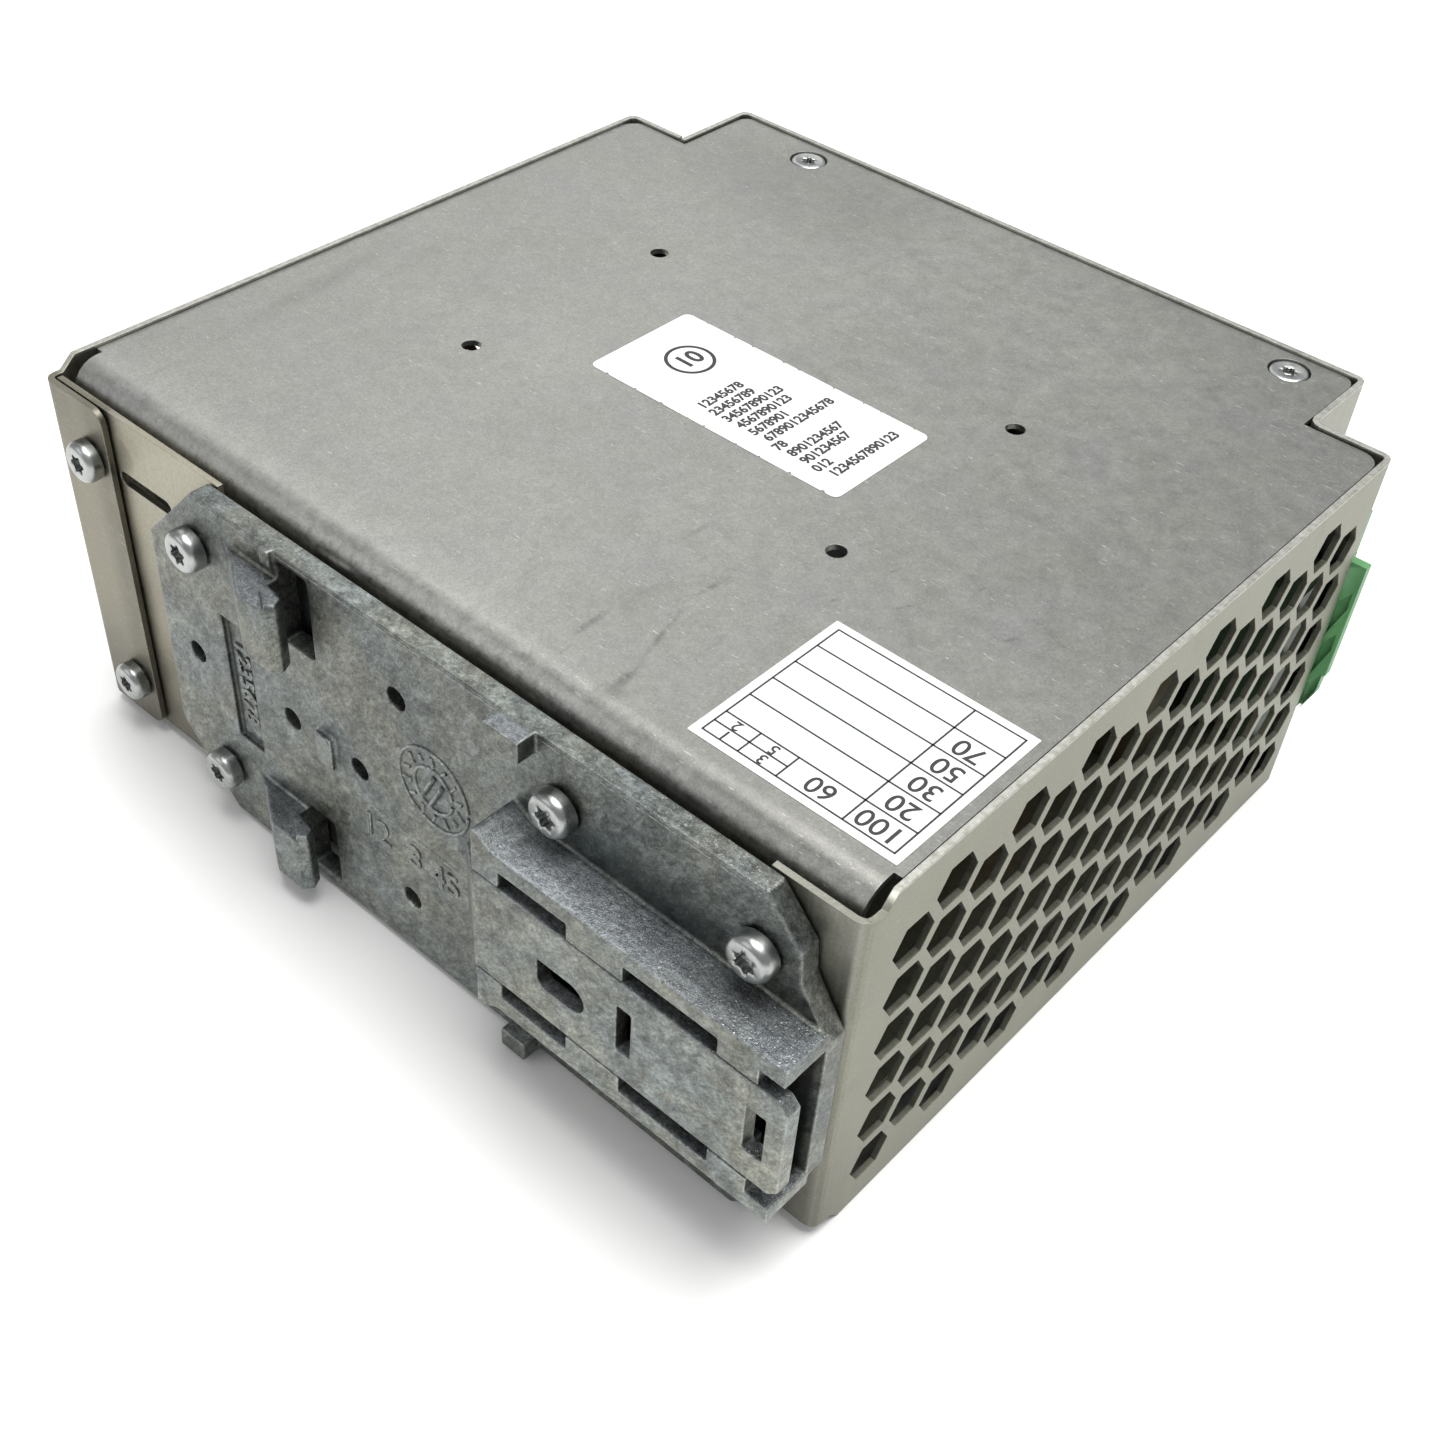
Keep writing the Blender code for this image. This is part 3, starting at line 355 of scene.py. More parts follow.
def panel_sheet():
    """Grey conversion-coated side panels: mottled, scuffed, smoother at the bend, with painted light and a painted
    highlight there.
    """
    p = Paint("panel_sheet")
    clouds = p.noise(34.0, 4.0, 0.55)
    mottle = p.noise(3.0, 6.0, 0.68, 0.3)
    fine = p.noise(0.9, 4.0, 0.65)
    grain = p.noise(0.24, 3.0, 0.7)
    colour = p.mix(p.remap(clouds, 0.34, 0.68), (0.268, 0.268, 0.250, 1), (0.300, 0.300, 0.279, 1))
    tint = p.noise(11.0, 3.0, 0.5, where=p.stretched((1, 1, 1), shift=(9, 4, 1)))
    colour = p.mix(p.remap(tint, 0.46, 0.66, 0.0, 0.55), colour, (0.272, 0.270, 0.270, 1))
    colour = p.modulate(colour, mottle, 0.07)
    colour = p.modulate(colour, fine, 0.06)
    colour = p.modulate(colour, grain, 0.17)
    # Painted light: lighter left of the middle, darker towards the right end.
    painted_light_drift = p.curve("x", 0.0, 65.0, 1.08, -0.14, -0.15)
    colour = p.mix(1.0, colour, painted_light_drift, "MULTIPLY")
    shade = p.patch(36.0, 108.0, 64.0, 40.0, 0, 0.9)
    colour = p.mix(1.0, colour, p.remap(shade, 0.0, 1.0, 1.0, 0.86), "MULTIPLY")
    # Painted light near the bend, strongest on the left half.
    bend_light = p.remap(p.axis("y"), -44.0, -51.5, 0.0, 1.0, smooth=True)
    bend_light = p.calc("MULTIPLY", bend_light, p.remap(p.axis("x"), 0.0, 48.0, 0.12, 0.0))
    colour = p.mix(1.0, colour, p.calc("ADD", bend_light, 1.0), "MULTIPLY")
    ragged = p.remap(p.noise(2.2, 6.0, 0.7, 0.5), 0.36, 0.60)
    # Broad smears along the edge on the cover's side.
    smear = p.patch(7.6, 36.0, 44.0, 5.5, 97.0)
    smear = p.calc("MAXIMUM", smear, p.calc("MULTIPLY", p.patch(11.0, 52.0, 20.0, 6.0, 100.0), 0.5))
    smear = p.calc("MULTIPLY", smear, p.remap(p.noise(5.0, 4.0, 0.6), 0.3, 0.62, 0.25, 1.0))
    colour = p.mix(p.calc("MULTIPLY", smear, 0.42), colour, (0.185, 0.182, 0.170, 1))
    # Scuffs that run away from the bend.
    marks = None
    for x, y, length, width, turn, strength in (
        (82.4, 12.3, 9.5, 1.6, 92.0, 0.55),
        (91.2, 8.3, 9.0, 2.0, 97.0, 0.75),
        (89.0, 16.5, 14.0, 1.3, 106.0, 0.50),
        (87.4, 26.3, 10.0, 1.3, 88.0, 0.45),
        (91.4, 5.6, 5.0, 4.0, 20.0, 0.60),
        (83.0, 19.0, 16.0, 5.0, 80.0, 0.22),
        (116.1, 42.5, 3.2, 0.9, 60.0, 0.60),
        (108.8, 47.5, 1.6, 0.7, 70.0, 0.75),
        (104.6, 38.8, 3.8, 0.6, 64.0, 0.75),
        (98.4, 34.2, 2.2, 0.8, 75.0, 0.55),
        (99.8, 42.9, 1.3, 0.7, 80.0, 0.70),
        (79.5, 33.0, 8.0, 1.4, 84.0, 0.32),
    ):
        mask = p.calc("MULTIPLY", p.patch(x, y, length, width, turn), strength)
        marks = mask if marks is None else p.calc("MAXIMUM", marks, mask)
    marks = p.calc("MULTIPLY", marks, ragged)
    colour = p.mix(marks, colour, (0.098, 0.098, 0.095, 1))
    streaks = p.remap(p.noise(1.6, 6.0, 0.7, 0.3, where=p.stretched((1.0, 0.12, 1.0), (0, 0, 8), (3, 1, 0))), 0.60, 0.74)
    near = p.remap(p.axis("y"), -18.0, -50.0, 0.0, 1.0, smooth=True)
    colour = p.mix(p.calc("MULTIPLY", p.calc("MULTIPLY", streaks, near), 0.30), colour, (0.155, 0.155, 0.148, 1))
    specks = p.remap(p.noise(0.75, 4.0, 0.7), 0.70, 0.76)
    colour = p.mix(p.calc("MULTIPLY", specks, 0.50), colour, (0.115, 0.115, 0.115, 1))
    light = p.scratches(0.30, 5.0, 28.0, 0.695, 0.74, 2.0)
    light = p.calc("MAXIMUM", light, p.scratches(0.26, 7.0, -18.0, 0.70, 0.74, 9.0))
    flecks = p.remap(p.noise(0.55, 3.0, 0.75, where=p.stretched((1, 1, 1), shift=(40, 12, 5))), 0.675, 0.735)
    by_edge = p.remap(p.axis("x"), 52.0, 63.5, 0.35, 1.0)
    light = p.calc("MAXIMUM", light, p.calc("MULTIPLY", flecks, by_edge))
    colour = p.mix(p.calc("MULTIPLY", light, 0.55), colour, (0.62, 0.62, 0.60, 1))
    # Painted highlight along the bend, speckled, fading towards the right.
    bend = p.remap(p.axis("y"), -49.5, -52.5, 0.0, 1.0, smooth=True)
    bend = p.calc("MULTIPLY", bend, p.remap(p.noise(1.3, 5.0, 0.78), 0.42, 0.60))
    bend = p.calc("MULTIPLY", bend, p.remap(p.axis("x"), 5.0, 45.0, 1.0, 0.35))
    colour = p.mix(p.calc("MULTIPLY", bend, 0.46), colour, (0.54, 0.54, 0.525, 1))
    # Painted shade on the bend's lower flank.
    bend_flank_shade = p.calc("MULTIPLY", p.remap(p.axis("y"), -52.6, -53.8, smooth=True), p.remap(p.noise(1.1, 6.0, 0.72, 0.4), 0.50, 0.66))
    colour = p.mix(p.calc("MULTIPLY", bend_flank_shade, 0.55), colour, (0.085, 0.082, 0.075, 1))
    edge, soft = p.edges(0.18)
    colour = p.mix(p.calc("MULTIPLY", edge, 0.35), colour, (0.50, 0.50, 0.485, 1))
    rough = p.remap(mottle, 0.3, 0.7, 0.42, 0.54)
    polished = p.calc("MULTIPLY", p.remap(p.axis("y"), -51.6, -52.6, smooth=True), p.remap(p.noise(0.9, 4.0, 0.7), 0.35, 0.6, 0.35, 1.0))
    rough = p.calc("SUBTRACT", rough, p.calc("MULTIPLY", polished, 0.13))
    height = p.calc("ADD", p.calc("MULTIPLY", grain, 0.9), p.calc("MULTIPLY", fine, 0.5))
    height = p.calc("ADD", height, p.calc("MULTIPLY", light, 0.3))
    return p.finish(colour, rough, 1.0, p.bump(height, 0.013, soft))


def zinc_casting():
    """Die-cast zinc: grey, cloudy, granular, with edges bright from wear and painted highlight, and painted light and
    shade on some faces.
    """
    p = Paint("zinc_casting")
    warmth = p.noise(12.0, 4.0, 0.55, 0.5, where=p.stretched((1, 1, 1), shift=(31, 7, 3)))
    clouds = p.noise(6.0, 5.0, 0.66, 0.8)
    mottle = p.noise(1.4, 6.0, 0.70, 0.3, where=p.slanted(1.7, (2, 4, 6)))
    fine = p.noise(0.48, 4.0, 0.72, 0.2, where=p.slanted(1.6, (3, 9, 14)))
    grain = p.noise(0.21, 3.0, 0.78, where=p.slanted(1.5))
    warm = p.remap(warmth, 0.36, 0.62)
    colour = p.mix(warm, (0.140, 0.158, 0.156, 1), (0.171, 0.177, 0.153, 1))
    colour = p.modulate(colour, clouds, 0.22, 0.38, 0.62)
    colour = p.modulate(colour, mottle, 0.36, 0.37, 0.63)
    colour = p.modulate(colour, fine, 0.30, 0.36, 0.64)
    colour = p.modulate(colour, grain, 0.30)
    # Painted reflection of the floor: the lower half, near the floor, is lighter.
    colour = p.mix(1.0, colour, p.remap(p.axis("z"), 42.0, 8.0, 0.82, 1.25), "MULTIPLY")
    # Painted light on the faces that stand farthest forward, towards the right end.
    forward_faces_light = p.calc("MULTIPLY", p.remap(p.axis("x"), 18.0, 34.0), p.remap(p.axis("y"), -62.6, -63.2))
    colour = p.mix(1.0, colour, p.remap(forward_faces_light, 0.0, 1.0, 1.0, 1.26), "MULTIPLY")
    pale = p.remap(p.noise(1.8, 6.0, 0.75, 0.5, where=p.slanted(1.7, (5, 50, 22))), 0.55, 0.70)
    colour = p.mix(p.calc("MULTIPLY", pale, 0.60), colour, (0.285, 0.305, 0.295, 1))
    dark = p.remap(p.noise(1.5, 6.0, 0.75, 0.5, where=p.slanted(1.7, (15, 5, 32))), 0.58, 0.72)
    colour = p.mix(p.calc("MULTIPLY", dark, 0.60), colour, (0.060, 0.068, 0.068, 1))
    # Brown bloom, mostly on the foot's face.
    rust = p.remap(p.noise(2.4, 5.0, 0.65, 0.6, where=p.stretched((1, 1, 1), shift=(11, 3, 5))), 0.52, 0.70)
    on_foot = p.calc("MULTIPLY", p.window("x", 41.0, 58.0, 5.0), p.remap(p.axis("y"), -64.0, -65.0))
    rust = p.calc("MULTIPLY", rust, p.calc("ADD", p.calc("MULTIPLY", on_foot, 0.35), 0.12))
    colour = p.mix(rust, colour, (0.190, 0.172, 0.122, 1))
    # Faces that look up, in front of the plate, carry painted reflection and shade: darker and bluer, lighter towards
    # the left.
    up = p.remap(p.normal("z"), 0.55, 0.9, smooth=True)
    proud = p.remap(p.axis("y"), -59.0, -59.6, smooth=True)
    top = p.calc("MULTIPLY", up, proud)
    up_reflection = p.mix(p.remap(p.axis("x"), 28.0, 56.0), (0.385, 0.412, 0.437, 1), (0.165, 0.180, 0.194, 1))
    elsewhere = p.calc("MAXIMUM", p.remap(p.axis("x"), 26.0, 20.0), p.remap(p.axis("z"), 42.0, 44.0))
    up_reflection = p.mix(elsewhere, up_reflection, (0.190, 0.206, 0.222, 1))
    up_reflection = p.modulate(up_reflection, mottle, 0.20, 0.38, 0.62)
    up_reflection = p.modulate(p.modulate(up_reflection, fine, 0.34, 0.36, 0.64), grain, 0.40)
    colour = p.mix(p.calc("MULTIPLY", top, 0.72), colour, up_reflection)
    # Painted light on the plate's top edge, strongest near the middle and least at the right end.
    rim = p.calc("MULTIPLY", up, p.remap(p.axis("y"), -59.0, -58.7))
    along = p.calc("MINIMUM", p.remap(p.axis("x"), -30.0, -3.0, 1.20, 1.52), p.remap(p.axis("x"), -3.0, 48.0, 1.52, 1.00))
    colour = p.mix(rim, colour, p.mix(1.0, colour, along, "MULTIPLY"))
    # Painted shade on the plate under the upper ridge's screws.
    under_screw_shade = p.calc("MULTIPLY", p.patch(106.0, 43.0, 36.0, 9.0, 0, 0.8, "xz"), p.remap(p.axis("y"), -59.3, -59.0))
    colour = p.mix(p.calc("MULTIPLY", under_screw_shade, 0.45), colour, (0.070, 0.092, 0.098, 1))
    # Painted glints, strongest on faces that look up towards the right.
    painted_glint = p.remap(p.noise(0.36, 2.0, 0.85, where=p.stretched((1, 1, 1), shift=(1, 2, 3))), 0.60, 0.69)
    painted_glint_more = p.calc("MULTIPLY", p.remap(p.axis("x"), 30.0, 58.0, 0.30, 1.0), p.remap(p.axis("y"), -59.0, -60.0, 0.35, 1.0))
    painted_glint = p.calc("MULTIPLY", painted_glint, p.calc("ADD", p.calc("MULTIPLY", p.calc("MULTIPLY", up, painted_glint_more), 0.62), 0.18))
    colour = p.mix(painted_glint, colour, (0.66, 0.68, 0.68, 1))
    # Edges lighter: bright from wear, with painted highlight.
    edge, soft = p.edges(0.30)
    edge = p.calc("MULTIPLY", edge, p.remap(p.noise(0.7, 4.0, 0.7), 0.38, 0.58, 0.08, 1.0))
    colour = p.mix(p.calc("MULTIPLY", edge, 0.95), colour, (0.70, 0.72, 0.70, 1))
    # Raised marks on the plate: painted highlight on their upper sides, painted shade on their lower sides.
    marks = p.calc("MULTIPLY", p.window("x", 56.5 - CENTRE_X, 81.0 - CENTRE_X, 0.5), p.window("z", 13.0, 40.0, 0.5))
    marks = p.calc("MULTIPLY", marks, p.window("y", -3.95 - CENTRE_Y, -3.08 - CENTRE_Y, 0.04))
    broken = p.remap(p.noise(0.75, 5.0, 0.75, where=p.stretched((1, 1, 1), shift=(7, 21, 3))), 0.46, 0.60)
    mark_highlight = p.calc("MULTIPLY", p.calc("MULTIPLY", marks, broken), p.remap(p.normal("z"), 0.15, 0.6))
    colour = p.mix(p.calc("MULTIPLY", mark_highlight, 0.80), colour, (0.50, 0.52, 0.51, 1))
    mark_shade = p.calc("MULTIPLY", p.calc("MULTIPLY", marks, broken), p.remap(p.normal("z"), -0.15, -0.6))
    colour = p.mix(p.calc("MULTIPLY", mark_shade, 0.5), colour, (0.060, 0.066, 0.066, 1))
    # The small boss is rubbed bright on its face.
    boss = p.calc("MULTIPLY", p.patch(53.5, 26.7, 3.4, 5.4, 0, 0.2, "xz"), p.remap(p.axis("y"), -3.5 - CENTRE_Y, -3.7 - CENTRE_Y))
    colour = p.mix(p.calc("MULTIPLY", boss, p.remap(fine, 0.35, 0.65, 0.25, 0.60)), colour, (0.300, 0.315, 0.290, 1))
    # Painted shade in the foot's channel and along the edges of the shallow recess.
    face_y = -3.0 - CENTRE_Y
    channel = p.calc("MULTIPLY", p.window("z", 14.5, 39.5, 1.0), p.window("x", 90.0 - CENTRE_X, 128.6 - CENTRE_X, 0.5))
    channel = p.calc("MULTIPLY", channel, p.remap(p.axis("y"), -7.35 - CENTRE_Y, -7.1 - CENTRE_Y))
    left = p.calc("MULTIPLY", p.window("x", 34.35 - CENTRE_X, 34.95 - CENTRE_X, 0.12), p.window("z", 16.3, 36.4, 0.3))
    below = p.calc("MULTIPLY", p.window("x", 34.3 - CENTRE_X, 39.6 - CENTRE_X, 0.2), p.window("z", 16.2, 16.8, 0.15))
    recess = p.calc("MAXIMUM", left, below)
    recess = p.calc("MULTIPLY", recess, p.window("y", face_y + 0.05, face_y + 1.2, 0.05))
    channel_recess_shade = p.calc("MAXIMUM", channel, p.calc("MULTIPLY", recess, 0.75))
    colour = p.mix(p.calc("MULTIPLY", channel_recess_shade, 0.85), colour, (0.020, 0.021, 0.021, 1))
    rough = p.calc("SUBTRACT", p.remap(mottle, 0.3, 0.72, 0.38, 0.50), p.calc("MULTIPLY", painted_glint, 0.18))
    height = p.calc("ADD", p.calc("MULTIPLY", grain, 1.0), p.calc("MULTIPLY", mottle, 1.6))
    height = p.calc("ADD", height, p.calc("MULTIPLY", fine, 1.2))
    height = p.calc("ADD", height, p.calc("MULTIPLY", p.calc("MULTIPLY", top, grain), 2.0))
    return p.finish(colour, rough, 1.0, p.bump(height, 0.034, soft))


def bright_screw():
    p = Paint("bright_screw")
    film = p.noise(1.7, 4.0, 0.6)
    grain = p.noise(0.12, 2.0, 0.6)
    colour = p.mix(p.remap(film, 0.35, 0.65), (0.34, 0.355, 0.35, 1), (0.42, 0.435, 0.42, 1))
    wear = p.remap(p.noise(0.45, 3.0, 0.7), 0.58, 0.70)
    colour = p.mix(p.calc("MULTIPLY", wear, 0.4), colour, (0.26, 0.27, 0.27, 1))
    rough = p.remap(film, 0.3, 0.7, 0.25, 0.34)
    return p.finish(colour, rough, 1.0, p.bump(grain, 0.006))


def plastic(name, base, dark, rough=0.42, grain_size=0.16):
    p = Paint(name)
    tone = p.noise(3.5, 4.0, 0.6)
    grain = p.noise(grain_size, 2.0, 0.6)
    colour = p.mix(p.remap(tone, 0.32, 0.68), dark, base)
    edge, soft = p.edges(0.15)
    colour = p.mix(p.calc("MULTIPLY", edge, 0.18), colour, tuple(min(1.0, c * 1.6 + 0.05) for c in base[:3]) + (1,))
    return p.finish(colour, p.remap(tone, 0.3, 0.7, rough - 0.05, rough + 0.06), 0.0, p.bump(grain, 0.006, soft))


def green_plastic():
    """Green moulding of the connectors; the part inside the case carries painted shade."""
    p = Paint("green_plastic")
    tone = p.noise(7.0, 4.0, 0.6)
    grain = p.noise(0.20, 3.0, 0.7)
    colour = p.mix(p.remap(tone, 0.35, 0.65), (0.085, 0.27, 0.10, 1), (0.115, 0.34, 0.13, 1))
    colour = p.modulate(colour, grain, 0.08)
    scuff = p.remap(p.noise(1.4, 5.0, 0.7, 0.4), 0.60, 0.74)
    colour = p.mix(p.calc("MULTIPLY", scuff, 0.22), colour, (0.24, 0.46, 0.26, 1))
    edge, soft = p.edges(0.15)
    colour = p.mix(p.calc("MULTIPLY", edge, 0.35), colour, (0.24, 0.50, 0.27, 1))
    # Painted shade on the part inside the case.
    inside = p.remap(p.axis("y"), 104.4 - CENTRE_Y, 104.0 - CENTRE_Y)
    colour = p.mix(p.calc("MULTIPLY", inside, 0.9), colour, (0.030, 0.042, 0.028, 1))
    rough = p.remap(tone, 0.3, 0.7, 0.38, 0.50)
    return p.finish(colour, rough, 0.0, p.bump(grain, 0.010, soft))


def metal(name, base, dark, rough=0.35, stretch=(1, 1, 1)):
    p = Paint(name)
    tone = p.noise(4.0, 4.0, 0.6)
    grain = p.noise(0.2, 2.0, 0.6, where=p.stretched(stretch))
    colour = p.mix(p.remap(tone, 0.32, 0.68), dark, base)
    colour = p.mix(p.remap(grain, 0.4, 0.7, 0.0, 0.3), colour, dark)
    return p.finish(colour, p.remap(tone, 0.3, 0.7, rough - 0.06, rough + 0.08), 1.0, p.bump(grain, 0.006))


def board_laminate():
    p = Paint("board")
    weave = p.calc("ADD", p.noise(0.35, 1.0, where=p.stretched((1, 0.1, 1))), p.noise(0.35, 1.0, where=p.stretched((0.1, 1, 1))))
    tracks = p.cells(2.6, feature="DISTANCE_TO_EDGE")
    colour = p.mix(p.remap(tracks, 0.02, 0.06), (0.066, 0.069, 0.047, 1), (0.086, 0.090, 0.064, 1))
    colour = p.mix(p.remap(weave, 0.8, 1.2, 0.0, 0.25), colour, (0.11, 0.115, 0.085, 1))
    return p.finish(colour, p.remap(weave, 0.8, 1.2, 0.30, 0.42), 0.0, p.bump(tracks, 0.01))


def paper(name, tint):
    p = Paint(name)
    fibre = p.noise(0.35, 4.0, 0.7)
    tone = p.noise(9.0, 3.0, 0.5)
    colour = p.mix(p.remap(tone, 0.35, 0.7), tint, (0.71, 0.72, 0.705, 1))
    colour = p.mix(p.remap(fibre, 0.5, 0.75, 0.0, 0.10), colour, (0.62, 0.63, 0.61, 1))
    return p.finish(colour, p.remap(fibre, 0.3, 0.7, 0.48, 0.6), 0.0, p.bump(fibre, 0.006))


def ink(name, tone):
    p = Paint(name)
    patch = p.noise(0.3, 3.0, 0.7)
    colour = p.mix(p.remap(patch, 0.4, 0.75, 0.0, 0.5), tone, tuple(min(1.0, c * 2.2 + 0.03) for c in tone[:3]) + (1,))
    return p.finish(colour, p.remap(patch, 0.3, 0.7, 0.5, 0.62))


SLOTS = {
    "bare_sheet": bare_sheet(),
    "panel_sheet": panel_sheet(),
    "zinc_casting": zinc_casting(),
    "bright_screw": bright_screw(),
    "spring_steel": metal("spring_steel", (0.40, 0.41, 0.42, 1), (0.22, 0.23, 0.25, 1), 0.32),
    "green_plastic": green_plastic(),
    # The board, film, heat sink, tape and white plastic inside the case are coloured darker than their own colours:
    # painted shade inside the case.
    "board": board_laminate(),
    "film": plastic("film", (0.125, 0.12, 0.092, 1), (0.088, 0.084, 0.062, 1), 0.35),
    "heat_sink": metal("heat_sink", (0.155, 0.155, 0.14, 1), (0.105, 0.105, 0.092, 1), 0.46, (1, 1, 0.06)),
    "ferrite": plastic("ferrite", (0.07, 0.07, 0.08, 1), (0.035, 0.035, 0.04, 1), 0.6, 0.4),
    "tape": plastic("tape", (0.092, 0.078, 0.045, 1), (0.062, 0.053, 0.030, 1), 0.4),
    "copper": metal("copper", (0.62, 0.26, 0.10, 1), (0.40, 0.14, 0.05, 1), 0.3, (0.2, 1, 1)),
    "sleeve": plastic("sleeve", (0.035, 0.045, 0.08, 1), (0.02, 0.025, 0.05, 1), 0.32),
    "black_plastic": plastic("black_plastic", (0.03, 0.03, 0.032, 1), (0.018, 0.018, 0.02, 1), 0.48),
    "blue_plastic": plastic("blue_plastic", (0.05, 0.17, 0.46, 1), (0.03, 0.12, 0.36, 1), 0.4),
    "lamp": plastic("lamp", (0.20, 0.60, 0.26, 1), (0.12, 0.48, 0.18, 1), 0.18),
    "white_plastic": plastic("white_plastic", (0.27, 0.27, 0.245, 1), (0.21, 0.21, 0.188, 1), 0.45),
    "fuse_glass": plastic("fuse_glass", (0.70, 0.73, 0.74, 1), (0.55, 0.58, 0.60, 1), 0.12),
}

slot_of = {part["node"]: part["material_slot"] for part in frame["record"]["subparts"]}
body_of = {name: obj["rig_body"] for name, obj in nodes.items()}


def wear(obj, slot):
    """Gives obj the finish of a slot of the record."""
    obj.data.materials.clear()
    obj.data.materials.append(SLOTS[slot])


for name, obj in nodes.items():
    if obj.data.materials:
        for i in range(len(obj.data.materials)):
            obj.data.materials[i] = SLOTS[slot_of[name]]
    else:
        obj.data.materials.append(SLOTS[slot_of[name]])


# ---------------------------------------------------------------- finer meshes
def new_piece(name, mesh, body, slot, standing_for=()):
    obj = bpy.data.objects.new(name, mesh)
    scene.collection.objects.link(obj)
    if slot in SLOTS:
        wear(obj, slot)
    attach(obj, body)
    if standing_for:
        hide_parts(*standing_for)
    return obj


def welded(name):
    """The CAD node's mesh with its split corners joined and its flat faces whole."""
    bm = bmesh.new()
    bm.from_mesh(nodes[name].data)
    bmesh.ops.remove_doubles(bm, verts=bm.verts, dist=4e-6)
    bmesh.ops.dissolve_degenerate(bm, edges=bm.edges, dist=1e-6)
    bmesh.ops.dissolve_limit(
        bm, angle_limit=math.radians(0.4), verts=bm.verts, edges=bm.edges, use_dissolve_boundaries=False
    )
    bmesh.ops.recalc_face_normals(bm, faces=bm.faces)
    return bm


def settle(obj):
    """Applies the modifiers of obj to its mesh."""
    graph = bpy.context.evaluated_depsgraph_get()
    mesh = bpy.data.meshes.new_from_object(obj.evaluated_get(graph), depsgraph=graph)
    obj.modifiers.clear()
    obj.data = mesh


def broken_edges(name, width, angle=30.0, smooth=32.0):
    """Sheet or moulded piece: a copy whose sharp edges are broken by a small bevel."""
    bm = welded(name)
    mesh = bpy.data.meshes.new(name + "_fine")
    bm.to_mesh(mesh)
    bm.free()
    obj = new_piece(name + "_fine", mesh, body_of[name], slot_of[name], (name,))
    for polygon in mesh.polygons:
        polygon.use_smooth = True
    mesh.set_sharp_from_angle(angle=math.radians(smooth))
    if width:
        bevel = obj.modifiers.new("bevel", "BEVEL")
        bevel.width = width / 1000
        bevel.segments = 2
        bevel.limit_method = "ANGLE"
        bevel.angle_limit = math.radians(angle)
        bevel.use_clamp_overlap = False
        bevel.harden_normals = False
    weigh = obj.modifiers.new("weigh", "WEIGHTED_NORMAL")
    weigh.keep_sharp = True
    weigh.weight = 100
    return obj


def casting(name, voxel, smooth):
    """Cast piece: the CAD solid remeshed finely, its edges softened by smoothing."""
    bm = welded(name)
    mesh = bpy.data.meshes.new(name + "_cast")
    bm.to_mesh(mesh)
    bm.free()
    obj = bpy.data.objects.new(name + "_cast", mesh)
    scene.collection.objects.link(obj)
    remesh = obj.modifiers.new("remesh", "REMESH")
    remesh.mode = "VOXEL"
    remesh.voxel_size = voxel / 1000
    remesh.adaptivity = 0.0
    soften = obj.modifiers.new("soften", "SMOOTH")
    soften.factor = 0.5
    soften.iterations = smooth
    settle(obj)
    for polygon in obj.data.polygons:
        polygon.use_smooth = True
    wear(obj, slot_of[name])
    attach(obj, body_of[name])
    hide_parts(name)
    return obj


def pan_screw(name, head, height, shank, recess, turn):
    """Pan-head screw with a six-lobed recess, in the place of the CAD screw. The head points to -Y."""
    low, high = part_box(name)
    centre = Vector(((low.x + high.x) / 2, low.y + height / 1000, (low.z + high.z) / 2))
    reach = (high.y - low.y) * 1000 - height
    count = 96
    radius = head / 2

    def lobed(angle, size):
        wave = math.cos(6 * angle)
        return recess * size * (0.865 + 0.135 * (wave * (1.25 - 0.25 * wave * wave)))

    rings = [
        (lambda a: shank - 0.5, -reach),
        (lambda a: shank, -reach + 0.5),
        (lambda a: shank, 0.0),
        (lambda a: radius * 0.975, 0.0),
        (lambda a: radius, 0.06),
        (lambda a: radius, height * 0.46),
        (lambda a: radius * 0.993, height * 0.58),
        (lambda a: radius * 0.972, height * 0.70),
        (lambda a: radius * 0.932, height * 0.82),
        (lambda a: radius * 0.878, height * 0.91),
        (lambda a: radius * 0.82, height * 0.965),
        (lambda a: radius * 0.76, height * 0.99),
        (lambda a: radius * 0.68, height),
        (lambda a: lobed(a, 1.12) * 0.5 + radius * 0.27, height),
        (lambda a: lobed(a, 1.10), height * 0.995),
        (lambda a: lobed(a, 1.0), height * 0.96),
        (lambda a: lobed(a, 0.985), height * 0.50),
        (lambda a: lobed(a, 0.90), height * 0.46),
        (lambda a: recess * 0.30, height * 0.36),
    ]
    bm = bmesh.new()
    loops = []
    for shape, h in rings:
        loop = []
        for i in range(count):
            angle = math.tau * i / count
            r = shape(angle)
            loop.append(bm.verts.new((r * math.cos(angle + turn) / 1000, -h / 1000, r * math.sin(angle + turn) / 1000)))
        loops.append(loop)
    for a, b in zip(loops, loops[1:]):
        for i in range(count):
            j = (i + 1) % count
            bm.faces.new((a[i], a[j], b[j], b[i]))
    bm.faces.new(loops[0][::-1])
    tip = bm.verts.new((0, -height * 0.33 / 1000, 0))
    for i in range(count):
        bm.faces.new((loops[-1][i], loops[-1][(i + 1) % count], tip))
    bmesh.ops.translate(bm, verts=bm.verts, vec=centre)
    bmesh.ops.recalc_face_normals(bm, faces=bm.faces)
    mesh = bpy.data.meshes.new(name + "_fine")
    bm.to_mesh(mesh)
    bm.free()
    for polygon in mesh.polygons:
        polygon.use_smooth = True
    mesh.set_sharp_from_angle(angle=math.radians(38))
    return new_piece(name + "_fine", mesh, body_of[name], slot_of[name], (name,))


